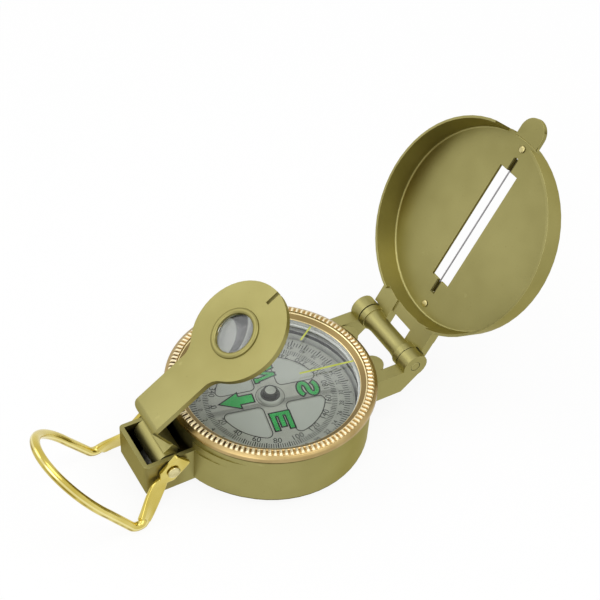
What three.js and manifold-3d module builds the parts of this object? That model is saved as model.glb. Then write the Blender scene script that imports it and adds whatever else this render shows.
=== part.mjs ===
// Lensatic pocket compass with its lid open, in millimetres, +Z up.
// The origin is the centre of the case underside. The lid hinge is toward +Y, the tail box toward -Y.
import * as THREE from 'three';
import { mergeVertices } from 'three/addons/utils/BufferGeometryUtils.js';
import Module from 'manifold-3d';

const wasm = await Module();
wasm.setup();

// Clearances
const runningGap = 0.3; // between pieces that move past each other
const seatGap = 0.15; // between pieces that stay together
const boreGap = 0.15; // round a pin, on the radius

// Case: a round drum with a tail box for the eyepiece and two ears for the lid
const caseRadius = 26.4;
const caseWall = 1.8;
const caseFloor = 1.6;
const caseHeight = 15.8;
const caseEdge = 0.8; // rounding of the bottom edge
const tailReach = 12.8; // tail box beyond the drum
const tailWidth = 15.9;
const tailHeight = 10.75;
const tailWall = 1.15;
const tailFloor = 1.5;
const tailCorner = 1.1; // rounding of the upright outer corners
const tailFoot = 2.0; // rounding of the bottom outer edge
const shelfReach = 1.0; // lower of the two crescents on the drum beside the tail, beyond the drum
const shelfSpan = 42; // degrees from the tail to where the lower crescent runs out
const shelfRise = 2.4; // top of the upper crescent above the lower one
const earInner = 9.4; // inner face of an ear, from the middle
const earThickness = 3.65;
const earDrop = 0.3; // top of the ears below the drum top
const earDepth = 7.1;
const knuckleRadius = 3.6;
const hingeReach = 9.6; // lid hinge axis beyond the drum
const hingeRise = 0.3; // lid hinge axis above the drum top
const hingePinRadius = 1.25;
const ledgeReach = 1.7; // ledge between the ears, beyond the drum
const ledgeHeight = 2.5;
const lugRadius = 3.0;
const lugSpread = 6.3;

// Bezel ring, its glass and the snap wire that holds it
const bezelOverhang = 1.03; // skirt beyond the drum
const bezelHeight = 1.87;
const bezelGrooves = 120;
const bezelBand = 1.6; // radial width of the grooved top band
const grooveDepth = 0.5;
const spigotDepth = 2.7;
const spigotWall = 0.9;
const lipReach = 0.45;
const lipRise = 0.1; // underside of the lip above the ring underside
const lipThickness = 0.4;
const glassThickness = 1.0;
const retainerHeight = 0.4;
const retainerWidth = 0.7;
const snapWire = 0.7; // wire diameter
const snapOpening = 40; // degrees left open in the snap wire

// Capsule and the card that swings in it
const capsuleWall = 1.2;
const capsuleFloor = 1.2;
const windowThickness = 0.5;
const cardGap = 0.9; // between the card's edge and the capsule wall
const cardThickness = 0.5;
const cardDrop = 2.6; // top of the card below the capsule window
const cardNorth = -102; // degrees from +X to the north mark
const fanRadius = 14.0; // outer radius of the four windows pressed into the card
const fanSpoke = 3.4; // half width of the spokes between the windows
const fanCorner = 1.2;
const fanDepth = 0.15;
const hubFlange = 3.2;
const hubCap = 2.0;
const hubSleeve = 1.6;
const jewelRadius = 0.95;
const jewelHeight = 0.9;
const pivotRadius = 0.75;
const pivotFoot = 2.6;
const magnetLength = 30.0;
const magnetWidth = 4.6;
const magnetHeight = 1.6;

// Lid: a shallow dish with a sight slot, wire, thumb tab and hinge barrel
const lidOpen = 118; // degrees from closed
const lidOverhang = 2.1; // rim beyond the drum
const lidHeight = 7.4;
const lidTaper = 0.9; // back smaller than the rim, on the radius
const lidFloor = 0.9;
const lidRim = 0.65; // wall at the rim
const lidRound = 1.2; // rounding of the back edge
const lidFillet = 0.5; // inside fillet between wall and floor
const slotHalf = 3.35;
const slotInnerInset = 11.8; // slot end toward the hinge, from the lid rim
const slotOuterInset = 10.5; // slot end toward the tab, from the lid rim
const wireRadius = 0.22;
const wireNotch = 3.9; // notch for the wire beyond each slot end
const notchHalf = 0.5;
const rivetInset = 4.0; // rivet from the lid rim
const rivetHead = 0.95;
const rivetShank = 0.55;
const rivetHeadHeight = 0.35;
const tabRadius = 4.0;
const tabReach = 4.6; // tab beyond the lid rim
const tabThickness = 1.3;
const tabCutHalf = 6.85; // half width of the wall opening at the tab
const armInner = 4.4;
const armOuter = 11.2;
const armBottom = 1.0; // above the hinge axis, lid closed
const armHeight = 2.6;
const bridgeDepth = 3.0; // straight wall by the hinge
const bridgeDrop = 1.8; // wall there lowered from the rim
const barrelWaist = 2.75;
const barrelEnd = 3.5;
const barrelCollar = 1.9; // length of the collar at each end
const barrelStep = 0.35; // collar above the flare beside it
const barrelFlare = 2.4; // length of the flare down to the waist

// Eyepiece: a cranked bracket with a magnifier, turning in the tail box
const eyeRaise = 35.5; // degrees up from folded
const eyePinReach = 5.9; // pin axis beyond the drum
const eyePinDrop = 2.85; // pin axis below the tail box rim
const eyePinRadius = 1.1;
const eyePinHead = 1.7;
const eyePinHeadHeight = 0.65;
const eyePlate = 1.6;
const eyeReach = 35.66; // disc centre from the pin axis
const eyeDisc = 13.29;
const eyeHandle = 5.7; // half width of the handle
const eyeNeck = 5.0; // fillet between handle and disc
const eyeLeg = 1.15;
const eyeBend = 2.4;
const eyeCorner = 1.9; // rounding of the handle's end, seen from above
const eyeFlat = 3.3; // step beside the roller, above the pin axis
const eyeFoot = 1.35; // start of the step, from the pin axis
const rollerRadius = 3.3;
const lensOffset = 1.06; // lens centre from the disc centre, toward the handle
const lensRingRadius = 6.67;
const lensRingRaise = 0.6;
const lensRingWidth = 1.53;
const lensRingTube = 0.7; // lens ring that drops into the plate, from its outer edge
const lensRadius = 5.45;
const lensEdge = 0.6;
const lensSag = 0.3;
const sightNotch = 3.8;
const sightHalf = 0.5;
const springThickness = 0.4;
const springWidth = 8.0;

// Thumb loop: flat tabs on the eyepiece pin, leaf arms, a bend and a round wire loop
const loopTab = 1.2; // thickness of the tabs
const loopTabHalf = 2.6;
const loopTabBack = 4.1; // tab beyond the pin
const loopNeck = 4.1; // neck from the pin
const loopNeckHalf = 0.95;
const loopArm = 16.25; // pin to bend
const loopArmDrop = 43.66; // degrees below level
const loopRise = 53.5; // degrees above level
const loopLeafHalf = 1.95;
const loopLeafThin = 0.6;
const loopWire = 1.2; // radius of the wire
const loopHalf = 13.4; // half width at the bends
const loopTaper = 0.7; // loop narrower where its round end starts
const loopStraight = 12.0;
const loopEnd = 18.5; // length of the round end
const loopBend = 2.4; // bend radius

// Heights and radii that follow from the sizes above
const caseInner = caseRadius - caseWall;
const tailEnd = caseRadius + tailReach;
const tailHalf = tailWidth / 2;
const tailInner = tailHalf - tailWall;
const earOuter = earInner + earThickness;
const earTop = caseHeight - earDrop;
const hingeY = caseRadius + hingeReach;
const hingeZ = caseHeight + hingeRise;
const bezelZ = caseHeight + runningGap;
const bezelTop = bezelZ + bezelHeight;
const skirtRadius = caseRadius + bezelOverhang;
const spigotOuter = caseInner - runningGap;
const spigotInner = spigotOuter - spigotWall;
const spigotZ = bezelZ - spigotDepth;
const lipRadius = spigotInner - lipReach;
const lipZ = bezelZ + lipRise;
const snapRadius = (spigotOuter + caseInner) / 2;
const snapZ = spigotZ + spigotDepth * 0.4;
const windowZ = spigotZ - runningGap - windowThickness;
const cupZ = caseFloor + seatGap;
const cupTop = windowZ - seatGap;
const cupFloorZ = cupZ + capsuleFloor;
const cupInner = spigotOuter - capsuleWall;
const cardRadius = cupInner - cardGap;
const cardTop = windowZ - cardDrop;
const hubTop = windowZ - runningGap;
const jewelTop = hubTop - 0.5;
const jewelDimple = jewelTop - jewelHeight * 0.4;
const lidRadius = caseRadius + lidOverhang;
const slotInner = lidRadius - slotInnerInset;
const slotOuter = lidRadius - slotOuterInset;
const lidRimZ = earTop + runningGap - hingeZ;
const lidBackZ = lidRimZ + lidHeight;
const lidFloorZ = lidBackZ - lidFloor;
const barrelHalf = earInner - runningGap;
const eyePinY = -caseRadius - eyePinReach;
const eyePinZ = tailHeight - eyePinDrop;
const eyePlateZ = bezelTop + runningGap - eyePinZ;
const eyePlateTop = eyePlateZ + eyePlate;
const legInner = eyePinReach - bezelOverhang - runningGap; // folded, the leg stands clear of the bezel
const legOuter = legInner - eyeLeg;
const rollerHalf = tailInner - runningGap;
const lensCentre = eyeReach - lensOffset;
const loopTabX = tailHalf + runningGap;

const ringSteps = 60; // facets round the large circles
const smallSteps = 20; // facets round pins and small circles

const radians = (degrees) => (degrees * Math.PI) / 180;

// Turns a closed triangle surface into a solid that faces outward.
function toSolid(geometry) {
  const bare = new THREE.BufferGeometry();
  bare.setAttribute('position', geometry.getAttribute('position'));
  bare.setIndex(geometry.getIndex());
  const merged = mergeVertices(bare, 1e-4);
  const place = merged.getAttribute('position');
  const corners = merged.getIndex();
  const triangles = [];
  const a = new THREE.Vector3();
  const b = new THREE.Vector3();
  const c = new THREE.Vector3();
  let volume = 0;
  for (let i = 0; i < corners.count; i += 3) {
    const three = [corners.getX(i), corners.getX(i + 1), corners.getX(i + 2)];
    if (new Set(three).size < 3) continue;
    triangles.push(three);
    a.fromBufferAttribute(place, three[0]);
    b.fromBufferAttribute(place, three[1]);
    c.fromBufferAttribute(place, three[2]);
    volume += a.dot(b.cross(c));
  }
  if (volume < 0) triangles.forEach((three) => three.reverse());
  return new wasm.Manifold(new wasm.Mesh({
    numProp: 3,
    vertProperties: new Float32Array(place.array),
    triVerts: new Uint32Array(triangles.flat()),
  }));
}

// Turns a solid back into a triangle surface.
function toGeometry(solid) {
  const mesh = solid.getMesh();
  const geometry = new THREE.BufferGeometry();
  geometry.setAttribute('position', new THREE.BufferAttribute(new Float32Array(mesh.vertProperties), 3));
  geometry.setIndex(new THREE.BufferAttribute(new Uint32Array(mesh.triVerts), 1));
  geometry.computeVertexNormals();
  return geometry;
}

const joined = (solids) => solids.reduce((whole, next) => whole.add(next));

// Points on an arc in a plane, angles in degrees.
function arcPoints(centreA, centreB, radius, from, to, steps) {
  return Array.from({ length: steps + 1 }, (_, i) => {
    const angle = radians(from + ((to - from) * i) / steps);
    return [centreA + radius * Math.cos(angle), centreB + radius * Math.sin(angle)];
  });
}

// A body turned about the Z axis from [radius, z] points, its axis moved to y = centreY.
function turned(points, centreY = 0, steps = ringSteps) {
  const geometry = new THREE.LatheGeometry(points.map(([r, z]) => new THREE.Vector2(r, z)), steps);
  geometry.rotateX(Math.PI / 2);
  geometry.translate(0, centreY, 0);
  return toSolid(geometry);
}

// A ring turned from a profile that does not touch the axis.
const turnedRing = (points, steps = ringSteps) => turned([...points, points[0]], 0, steps);

// A body turned about the X axis from [x, radius] points, moved to y, z.
function turnedAlongX(points, y = 0, z = 0, steps = smallSteps) {
  const geometry = new THREE.LatheGeometry(points.map(([x, r]) => new THREE.Vector2(r, x)), steps);
  geometry.rotateZ(-Math.PI / 2);
  geometry.translate(0, y, z);
  return toSolid(geometry);
}

const rodAlongX = (radius, x0, x1, y, z) => turnedAlongX([[x0, 0], [x0, radius], [x1, radius], [x1, 0]], y, z);
const rodAlongZ = (radius, z0, z1, x, y) => {
  const geometry = new THREE.CylinderGeometry(radius, radius, z1 - z0, smallSteps);
  geometry.rotateX(Math.PI / 2);
  geometry.translate(x, y, (z0 + z1) / 2);
  return toSolid(geometry);
};

const shapeOf = (points) => new THREE.Shape(points.map(([a, b]) => new THREE.Vector2(a, b)));

// A plan outline in x, y raised from z0 to z1.
function raised(shape, z0, z1, curveSegments = 12) {
  const geometry = new THREE.ExtrudeGeometry(shape, { depth: z1 - z0, bevelEnabled: false, curveSegments });
  geometry.translate(0, 0, z0);
  return toSolid(geometry);
}

// A side outline in y, z drawn along X from x0 to x1.
function drawnAlongX(shape, x0, x1, curveSegments = 12) {
  const geometry = new THREE.ExtrudeGeometry(shape, { depth: x1 - x0, bevelEnabled: false, curveSegments });
  const alongY = new THREE.Vector3(0, 1, 0);
  const alongZ = new THREE.Vector3(0, 0, 1);
  const alongX = new THREE.Vector3(1, 0, 0);
  geometry.applyMatrix4(new THREE.Matrix4().makeBasis(alongY, alongZ, alongX));
  geometry.translate(x0, 0, 0);
  return toSolid(geometry);
}

function block(x0, x1, y0, y1, z0, z1) {
  const geometry = new THREE.BoxGeometry(x1 - x0, y1 - y0, z1 - z0);
  geometry.translate((x0 + x1) / 2, (y0 + y1) / 2, (z0 + z1) / 2);
  return toSolid(geometry);
}

// A body swept along stations, each with a centre, a width and a thickness direction and its section.
// The section is a closed curve between an ellipse (squareness 2) and a rounded bar (higher).
function swept(stations, sides) {
  const positions = [];
  const triangles = [];
  const power = (value, squareness) => Math.sign(value) * Math.abs(value) ** (2 / squareness);
  stations.forEach(({ centre, wide, thin, halfWide, halfThin, squareness }) => {
    for (let k = 0; k < sides; k += 1) {
      const angle = (2 * Math.PI * k) / sides;
      const point = centre.clone();
      point.addScaledVector(wide, halfWide * power(Math.cos(angle), squareness));
      point.addScaledVector(thin, halfThin * power(Math.sin(angle), squareness));
      positions.push(point.x, point.y, point.z);
    }
  });
  for (let i = 0; i + 1 < stations.length; i += 1) {
    for (let k = 0; k < sides; k += 1) {
      const here = i * sides + k;
      const next = i * sides + ((k + 1) % sides);
      triangles.push(here, next, next + sides, here, next + sides, here + sides);
    }
  }
  const lastRow = (stations.length - 1) * sides;
  for (let k = 1; k + 1 < sides; k += 1) {
    triangles.push(0, k + 1, k, lastRow, lastRow + k, lastRow + k + 1);
  }
  const geometry = new THREE.BufferGeometry();
  geometry.setAttribute('position', new THREE.Float32BufferAttribute(positions, 3));
  geometry.setIndex(triangles);
  return toSolid(geometry);
}

// The case: drum, tail box, ears, rear ledge with two lugs, all one casting.
function makeCaseShell() {
  const drum = turned([
    [0, 0],
    ...arcPoints(caseRadius - caseEdge, caseEdge, caseEdge, -90, 0, 3),
    [caseRadius, caseHeight],
    [0, caseHeight],
  ]);

  // Each crescent is a smaller round, set off toward the tail, that meets the drum at the end of its span.
  const legRoom = block(-tailInner, tailInner, -tailEnd, 0, -1, caseHeight);
  const shelves = [0, 1].map((i) => {
    const far = caseRadius + shelfReach / (i + 1);
    const meets = caseRadius * Math.cos(radians(shelfSpan + 8 * i));
    const shift = (far ** 2 - caseRadius ** 2) / (2 * (far - meets));
    const top = tailHeight - 0.25 + shelfRise * i;
    const round = turned([
      [0, 0],
      ...arcPoints(far - shift - caseEdge, caseEdge, caseEdge, -90, 0, 3),
      [far - shift, top],
      [0, top],
    ], -shift);
    return round.subtract(legRoom);
  });

  const tailPlan = new THREE.Shape();
  tailPlan.moveTo(-tailHalf, -caseInner);
  tailPlan.lineTo(-tailHalf, tailCorner - tailEnd);
  tailPlan.absarc(tailCorner - tailHalf, tailCorner - tailEnd, tailCorner, Math.PI, 1.5 * Math.PI, false);
  tailPlan.lineTo(tailHalf - tailCorner, -tailEnd);
  tailPlan.absarc(tailHalf - tailCorner, tailCorner - tailEnd, tailCorner, 1.5 * Math.PI, 2 * Math.PI, false);
  tailPlan.lineTo(tailHalf, -caseInner);
  const tailSide = shapeOf([
    [-caseInner + 0.5, 0],
    [-caseInner + 0.5, tailHeight],
    [-tailEnd, tailHeight],
    ...arcPoints(tailFoot - tailEnd, tailFoot, tailFoot, 180, 270, 4),
  ]);
  const tailBlock = raised(tailPlan, -1, tailHeight + 1, 5)
    .intersect(drawnAlongX(tailSide, -tailHalf - 1, tailHalf + 1));
  const wellEnd = tailWall - tailEnd;
  const well = block(-tailInner, tailInner, wellEnd, -caseRadius + caseWall / 2, tailFloor, tailHeight + 1);
  const eyeBore = rodAlongX(eyePinRadius + boreGap, -tailHalf - 1, tailHalf + 1, eyePinY, eyePinZ);
  const tail = tailBlock.subtract(well).subtract(eyeBore);

  const earBottom = earTop - earDepth;
  const underAngle = radians(-70);
  const earSide = shapeOf([
    [caseInner - 5, earBottom],
    [hingeY - knuckleRadius, earBottom],
    [hingeY + knuckleRadius * Math.cos(underAngle), hingeZ + knuckleRadius * Math.sin(underAngle)],
    [hingeY, hingeZ],
    [hingeY - knuckleRadius * 0.3, earTop],
    [caseInner - 5, earTop],
  ]);
  const ears = [-1, 1].map((side) => {
    const near = side > 0 ? earInner : -earOuter;
    const far = near + earThickness;
    return drawnAlongX(earSide, near, far)
      .add(rodAlongX(knuckleRadius, near, far, hingeY, hingeZ))
      .subtract(rodAlongX(hingePinRadius + boreGap, near - 1, far + 1, hingeY, hingeZ));
  });

  const ledgeTop = earTop - 0.2;
  const ledge = turned([
    [0, ledgeTop - ledgeHeight - ledgeReach],
    [caseRadius, ledgeTop - ledgeHeight - ledgeReach],
    [caseRadius + ledgeReach, ledgeTop - ledgeHeight],
    [caseRadius + ledgeReach, ledgeTop],
    [0, ledgeTop],
  ]).intersect(block(-earInner - 0.5, earInner + 0.5, caseInner - 6, hingeY, 0, caseHeight));
  const lugs = [-lugSpread, lugSpread].map((x) => {
    const geometry = new THREE.LatheGeometry([
      new THREE.Vector2(0, ledgeTop - 2 * ledgeHeight),
      new THREE.Vector2(lugRadius * 0.5, ledgeTop - 2 * ledgeHeight),
      new THREE.Vector2(lugRadius, ledgeTop - ledgeHeight),
      new THREE.Vector2(lugRadius, ledgeTop),
      new THREE.Vector2(0, ledgeTop),
    ], smallSteps);
    geometry.rotateX(Math.PI / 2);
    geometry.translate(x, caseRadius + 0.6, 0);
    return toSolid(geometry);
  });

  const bore = turned([
    [0, caseFloor],
    [caseInner, caseFloor],
    [caseInner, snapZ - snapWire],
    [caseInner + snapWire / 2, snapZ - snapWire],
    [caseInner + snapWire / 2, snapZ + snapWire],
    [caseInner, snapZ + snapWire],
    [caseInner, caseHeight + 1],
    [0, caseHeight + 1],
  ]);
  return joined([drum, ...shelves, tail, ...ears, ledge, ...lugs]).subtract(bore);
}

// The bezel ring: a skirt, a grooved top band, a sloped inner face with a lip, and a spigot in the case.
function makeBezelRing() {
  const band = skirtRadius - 1.1;
  const groove = snapWire / 2 + 0.1;
  const ring = turnedRing([
    [skirtRadius, bezelZ],
    [skirtRadius - 0.15, bezelZ + bezelHeight / 2],
    [band - 0.15, bezelTop],
    [band - bezelBand, bezelTop],
    [lipRadius, lipZ + lipThickness],
    [lipRadius, lipZ],
    [spigotInner, lipZ],
    [spigotInner, spigotZ],
    [spigotOuter, spigotZ],
    [spigotOuter, snapZ - snapWire],
    [spigotOuter - groove, snapZ - snapWire],
    [spigotOuter - groove, snapZ + snapWire],
    [spigotOuter, snapZ + snapWire],
    [spigotOuter, bezelZ],
  ]);
  const inner = band - bezelBand + 0.15;
  const outer = band + 1.2;
  const halfWide = ((Math.PI * band) / bezelGrooves) * 0.72;
  const positions = [];
  const triangles = [];
  for (let i = 0; i < bezelGrooves; i += 1) {
    const angle = (2 * Math.PI * (i + 0.5)) / bezelGrooves;
    const first = positions.length / 3;
    const corner = (radius, across, z) => positions.push(
      radius * Math.cos(angle) - across * Math.sin(angle),
      radius * Math.sin(angle) + across * Math.cos(angle),
      z,
    );
    [[inner, 0], [outer, 2]].forEach(([radius, deep]) => {
      corner(radius, 0, bezelTop - grooveDepth * deep);
      corner(radius, halfWide, bezelTop + 0.15);
      corner(radius, -halfWide, bezelTop + 0.15);
    });
    const faces = [[0, 1, 2], [3, 5, 4], [0, 3, 4], [0, 4, 1], [1, 4, 5], [1, 5, 2], [2, 5, 3], [2, 3, 0]];
    faces.forEach((face) => triangles.push(...face.map((k) => first + k)));
  }
  const geometry = new THREE.BufferGeometry();
  geometry.setAttribute('position', new THREE.Float32BufferAttribute(positions, 3));
  geometry.setIndex(triangles);
  return ring.subtract(toSolid(geometry));
}

// A disc with a flat top and bottom.
const disc = (radius, z0, z1) => turned([[0, z0], [radius, z0], [radius, z1], [0, z1]], 0, 40);

// The open wire ring that snaps into the grooves of the bezel spigot and the case bore.
function makeBezelSpring() {
  const steps = 30;
  const up = new THREE.Vector3(0, 0, 1);
  const stations = Array.from({ length: steps + 1 }, (_, i) => {
    const angle = radians(snapOpening / 2 + ((360 - snapOpening) * i) / steps);
    const outward = new THREE.Vector3(Math.cos(angle), Math.sin(angle), 0);
    return {
      centre: outward.clone().multiplyScalar(snapRadius).setZ(snapZ),
      wide: up,
      thin: outward,
      halfWide: snapWire / 2,
      halfThin: snapWire / 2,
      squareness: 2,
    };
  });
  return swept(stations, 6);
}

const makeBezelGlass = () => {
  const top = lipZ - seatGap;
  return disc(spigotInner - seatGap, top - glassThickness, top);
};

const makeGlassRetainer = () => {
  const top = lipZ - 2 * seatGap - glassThickness;
  const outer = spigotInner - seatGap;
  return turnedRing([
    [outer - retainerWidth, top - retainerHeight],
    [outer, top - retainerHeight],
    [outer, top],
    [outer - retainerWidth, top],
  ], 40);
};

const makeCapsuleCup = () => turned([
  [0, cupZ],
  [spigotOuter, cupZ],
  [spigotOuter, cupTop],
  [cupInner, cupTop],
  [cupInner, cupFloorZ],
  [0, cupFloorZ],
], 0, 40);

const makeCapsuleWindow = () => disc(spigotOuter, windowZ, windowZ + windowThickness);

// The card: a thin disc with four fan-shaped windows pressed into it between the letter spokes.
function makeDialCard() {
  const plan = new THREE.Shape();
  plan.absarc(0, 0, cardRadius, 0, 2 * Math.PI, false);
  const centreHole = new THREE.Path();
  centreHole.absarc(0, 0, hubSleeve + seatGap, 0, 2 * Math.PI, true);
  plan.holes.push(centreHole);
  const windows = [];
  for (let quarter = 0; quarter < 4; quarter += 1) {
    const turn = radians(cardNorth + 90 * quarter);
    const low = fanSpoke + fanCorner;
    const rim = fanRadius - fanCorner;
    const tip = Math.asin(low / rim);
    const outline = [
      ...arcPoints(low, low, fanCorner, 270, 180, 2),
      ...arcPoints(rim * Math.sin(tip), rim * Math.cos(tip), fanCorner, 180, 90 - (tip * 180) / Math.PI, 3),
      ...arcPoints(0, 0, fanRadius, 90 - (tip * 180) / Math.PI - 3, (tip * 180) / Math.PI + 3, 6),
      ...arcPoints(rim * Math.cos(tip), rim * Math.sin(tip), fanCorner, (tip * 180) / Math.PI, -90, 3),
    ].map(([a, b]) => new THREE.Vector2(
      a * Math.cos(turn) - b * Math.sin(turn),
      a * Math.sin(turn) + b * Math.cos(turn),
    ));
    windows.push(raised(new THREE.Shape(outline), cardTop - fanDepth, cardTop + 1));
  }
  return raised(plan, cardTop - cardThickness, cardTop, 40).subtract(joined(windows));
}

// The hub: a cap on the card with a sleeve through it, hollow for the jewel and the pivot.
function makeDialHub() {
  const foot = cardTop + seatGap;
  const rise = hubTop - foot;
  const hollow = jewelRadius + seatGap;
  const sleeveEnd = cardTop - cardThickness;
  return turned([
    [0, hubTop],
    [hubCap * 0.8, hubTop],
    [hubCap, hubTop - rise * 0.15],
    [hubCap * 1.1, foot + rise * 0.35],
    [hubFlange, foot + rise * 0.2],
    [hubFlange, foot],
    [hubSleeve, foot],
    [hubSleeve, sleeveEnd],
    [hollow, sleeveEnd],
    [hollow, jewelTop + seatGap],
    [0, jewelTop + seatGap],
  ], 0, 20);
}

const makePivotJewel = () => turned([
  [0, jewelTop],
  [jewelRadius, jewelTop],
  [jewelRadius, jewelTop - jewelHeight],
  [jewelRadius * 0.75, jewelTop - jewelHeight],
  [0, jewelDimple],
], 0, smallSteps);

const makePivotPost = () => {
  const foot = cupFloorZ + seatGap;
  const tip = jewelDimple - runningGap;
  return turned([
    [0, foot],
    [pivotFoot, foot],
    [pivotFoot, foot + 0.7],
    [pivotRadius, foot + 1.3],
    [pivotRadius, tip - 2.2],
    [0, tip],
  ], 0, smallSteps);
};

// The bar magnet under the card, along its north-south line.
function makeDialMagnet() {
  const top = cardTop - cardThickness - seatGap;
  const half = magnetLength / 2;
  const bar = new THREE.BoxGeometry(magnetLength, magnetWidth, magnetHeight);
  bar.translate(0, 0, top - magnetHeight / 2);
  bar.rotateZ(radians(cardNorth));
  const hole = rodAlongZ(hubSleeve, top - magnetHeight - half, top + half, 0, 0);
  return toSolid(bar).subtract(hole);
}

// The lid, drawn closed about the hinge axis: the dish lies toward -Y.
function makeLidShell() {
  const backRadius = lidRadius - lidTaper;
  const rimInner = lidRadius - lidRim;
  const floorRadius = rimInner - lidTaper;
  const cavity = [
    [0, lidFloorZ],
    ...arcPoints(floorRadius - lidFillet, lidFloorZ - lidFillet, lidFillet, 90, 0, 3),
    [rimInner, lidRimZ],
  ];
  const dish = turned([
    ...cavity,
    [lidRadius, lidRimZ],
    ...arcPoints(backRadius - lidRound, lidBackZ - lidRound, lidRound, 0, 90, 3),
    [0, lidBackZ],
  ], -hingeY);
  const hollow = turned([...cavity, [rimInner, lidRimZ - 1], [0, lidRimZ - 1]], -hingeY);

  const wallEnd = lidRadius - hingeY;
  const bridgeEnd = -(hingeY - lidRadius) + 2.3;
  const bridgeTop = lidBackZ - 0.4;
  const bridge = block(-barrelHalf, barrelHalf, bridgeEnd - bridgeDepth, bridgeEnd, lidRimZ + bridgeDrop, bridgeTop);
  const arms = [-1, 1].map((side) => {
    const near = side > 0 ? armInner : -armOuter;
    const far = near + armOuter - armInner;
    return block(near, far, wallEnd - 4, 0, armBottom, armBottom + armHeight);
  });
  const knuckleRoom = [-1, 1].map((side) => {
    const near = side > 0 ? barrelHalf : -armOuter - 2;
    const far = side > 0 ? armOuter + 2 : -barrelHalf;
    return rodAlongX(knuckleRadius + runningGap, near, far, 0, 0);
  });
  const barrel = turnedAlongX([
    [-barrelHalf, 0],
    [-barrelHalf, barrelEnd],
    [barrelCollar - barrelHalf, barrelEnd],
    [barrelCollar - barrelHalf, barrelEnd - barrelStep],
    [barrelCollar + barrelFlare - barrelHalf, barrelWaist],
    [barrelHalf - barrelCollar - barrelFlare, barrelWaist],
    [barrelHalf - barrelCollar, barrelEnd - barrelStep],
    [barrelHalf - barrelCollar, barrelEnd],
    [barrelHalf, barrelEnd],
    [barrelHalf, 0],
  ]);
  const hingeSide = joined([bridge, ...arms]).subtract(hollow).subtract(joined(knuckleRoom));

  const tabCentre = -(hingeY + lidRadius + tabReach - tabRadius);
  const tabPlan = new THREE.Shape();
  tabPlan.moveTo(-tabRadius, lidTaper + lidRound + 1 - hingeY - lidRadius);
  tabPlan.lineTo(-tabRadius, tabCentre);
  tabPlan.absarc(0, tabCentre, tabRadius, Math.PI, 2 * Math.PI, false);
  tabPlan.lineTo(tabRadius, lidTaper + lidRound + 1 - hingeY - lidRadius);
  const tab = raised(tabPlan, lidBackZ - tabThickness, lidBackZ - 0.05, 16)
    .subtract(hollow);

  const rimNotch = block(-barrelHalf, barrelHalf, wallEnd - 3, 0, lidRimZ - 1, lidRimZ + bridgeDrop);
  const rimCut = dish.subtract(rimNotch);
  const tabCut = block(
    -tabCutHalf,
    tabCutHalf,
    -hingeY - lidRadius - 1,
    -hingeY - lidRadius * 0.7,
    lidRimZ - 1,
    lidFloorZ,
  );
  const slot = block(-slotHalf, slotHalf, -hingeY - slotOuter, slotInner - hingeY, 0, lidBackZ + 1);
  const notchOuter = -hingeY - slotOuter - wireNotch;
  const notch = block(-notchHalf, notchHalf, notchOuter, slotInner + wireNotch - hingeY, 0, lidBackZ + 1);
  const holes = [-1, 1].map((side) => {
    const y = -hingeY + side * (lidRadius - rivetInset);
    return rodAlongZ(rivetShank + seatGap, 0, lidBackZ + 1, 0, y);
  });
  return joined([rimCut.subtract(tabCut), hingeSide, barrel, tab])
    .subtract(joined([slot, notch, ...holes]))
    .subtract(rodAlongX(hingePinRadius + boreGap, -barrelHalf - 1, barrelHalf + 1, 0, 0));
}

const makeSightingWire = () => {
  const reach = wireNotch - runningGap;
  const rod = new THREE.CylinderGeometry(wireRadius, wireRadius, slotInner + slotOuter + 2 * reach, 10);
  rod.translate(0, (slotInner - slotOuter) / 2 - hingeY, lidFloorZ + lidFloor / 2);
  return toSolid(rod);
};

// A rivet through the lid floor at an end of the wire, headed on both sides.
const makeWireRivet = (side) => turned([
  [0, lidFloorZ - seatGap - rivetHeadHeight],
  [rivetHead * 0.7, lidFloorZ - seatGap - rivetHeadHeight],
  [rivetHead, lidFloorZ - seatGap - rivetHeadHeight * 0.4],
  [rivetHead, lidFloorZ - seatGap],
  [rivetShank, lidFloorZ - seatGap],
  [rivetShank, lidBackZ + seatGap],
  [rivetHead, lidBackZ + seatGap],
  [rivetHead * 0.8, lidBackZ + seatGap + rivetHeadHeight],
  [0, lidBackZ + seatGap + rivetHeadHeight],
], side * (lidRadius - rivetInset) - hingeY, 16);

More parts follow.
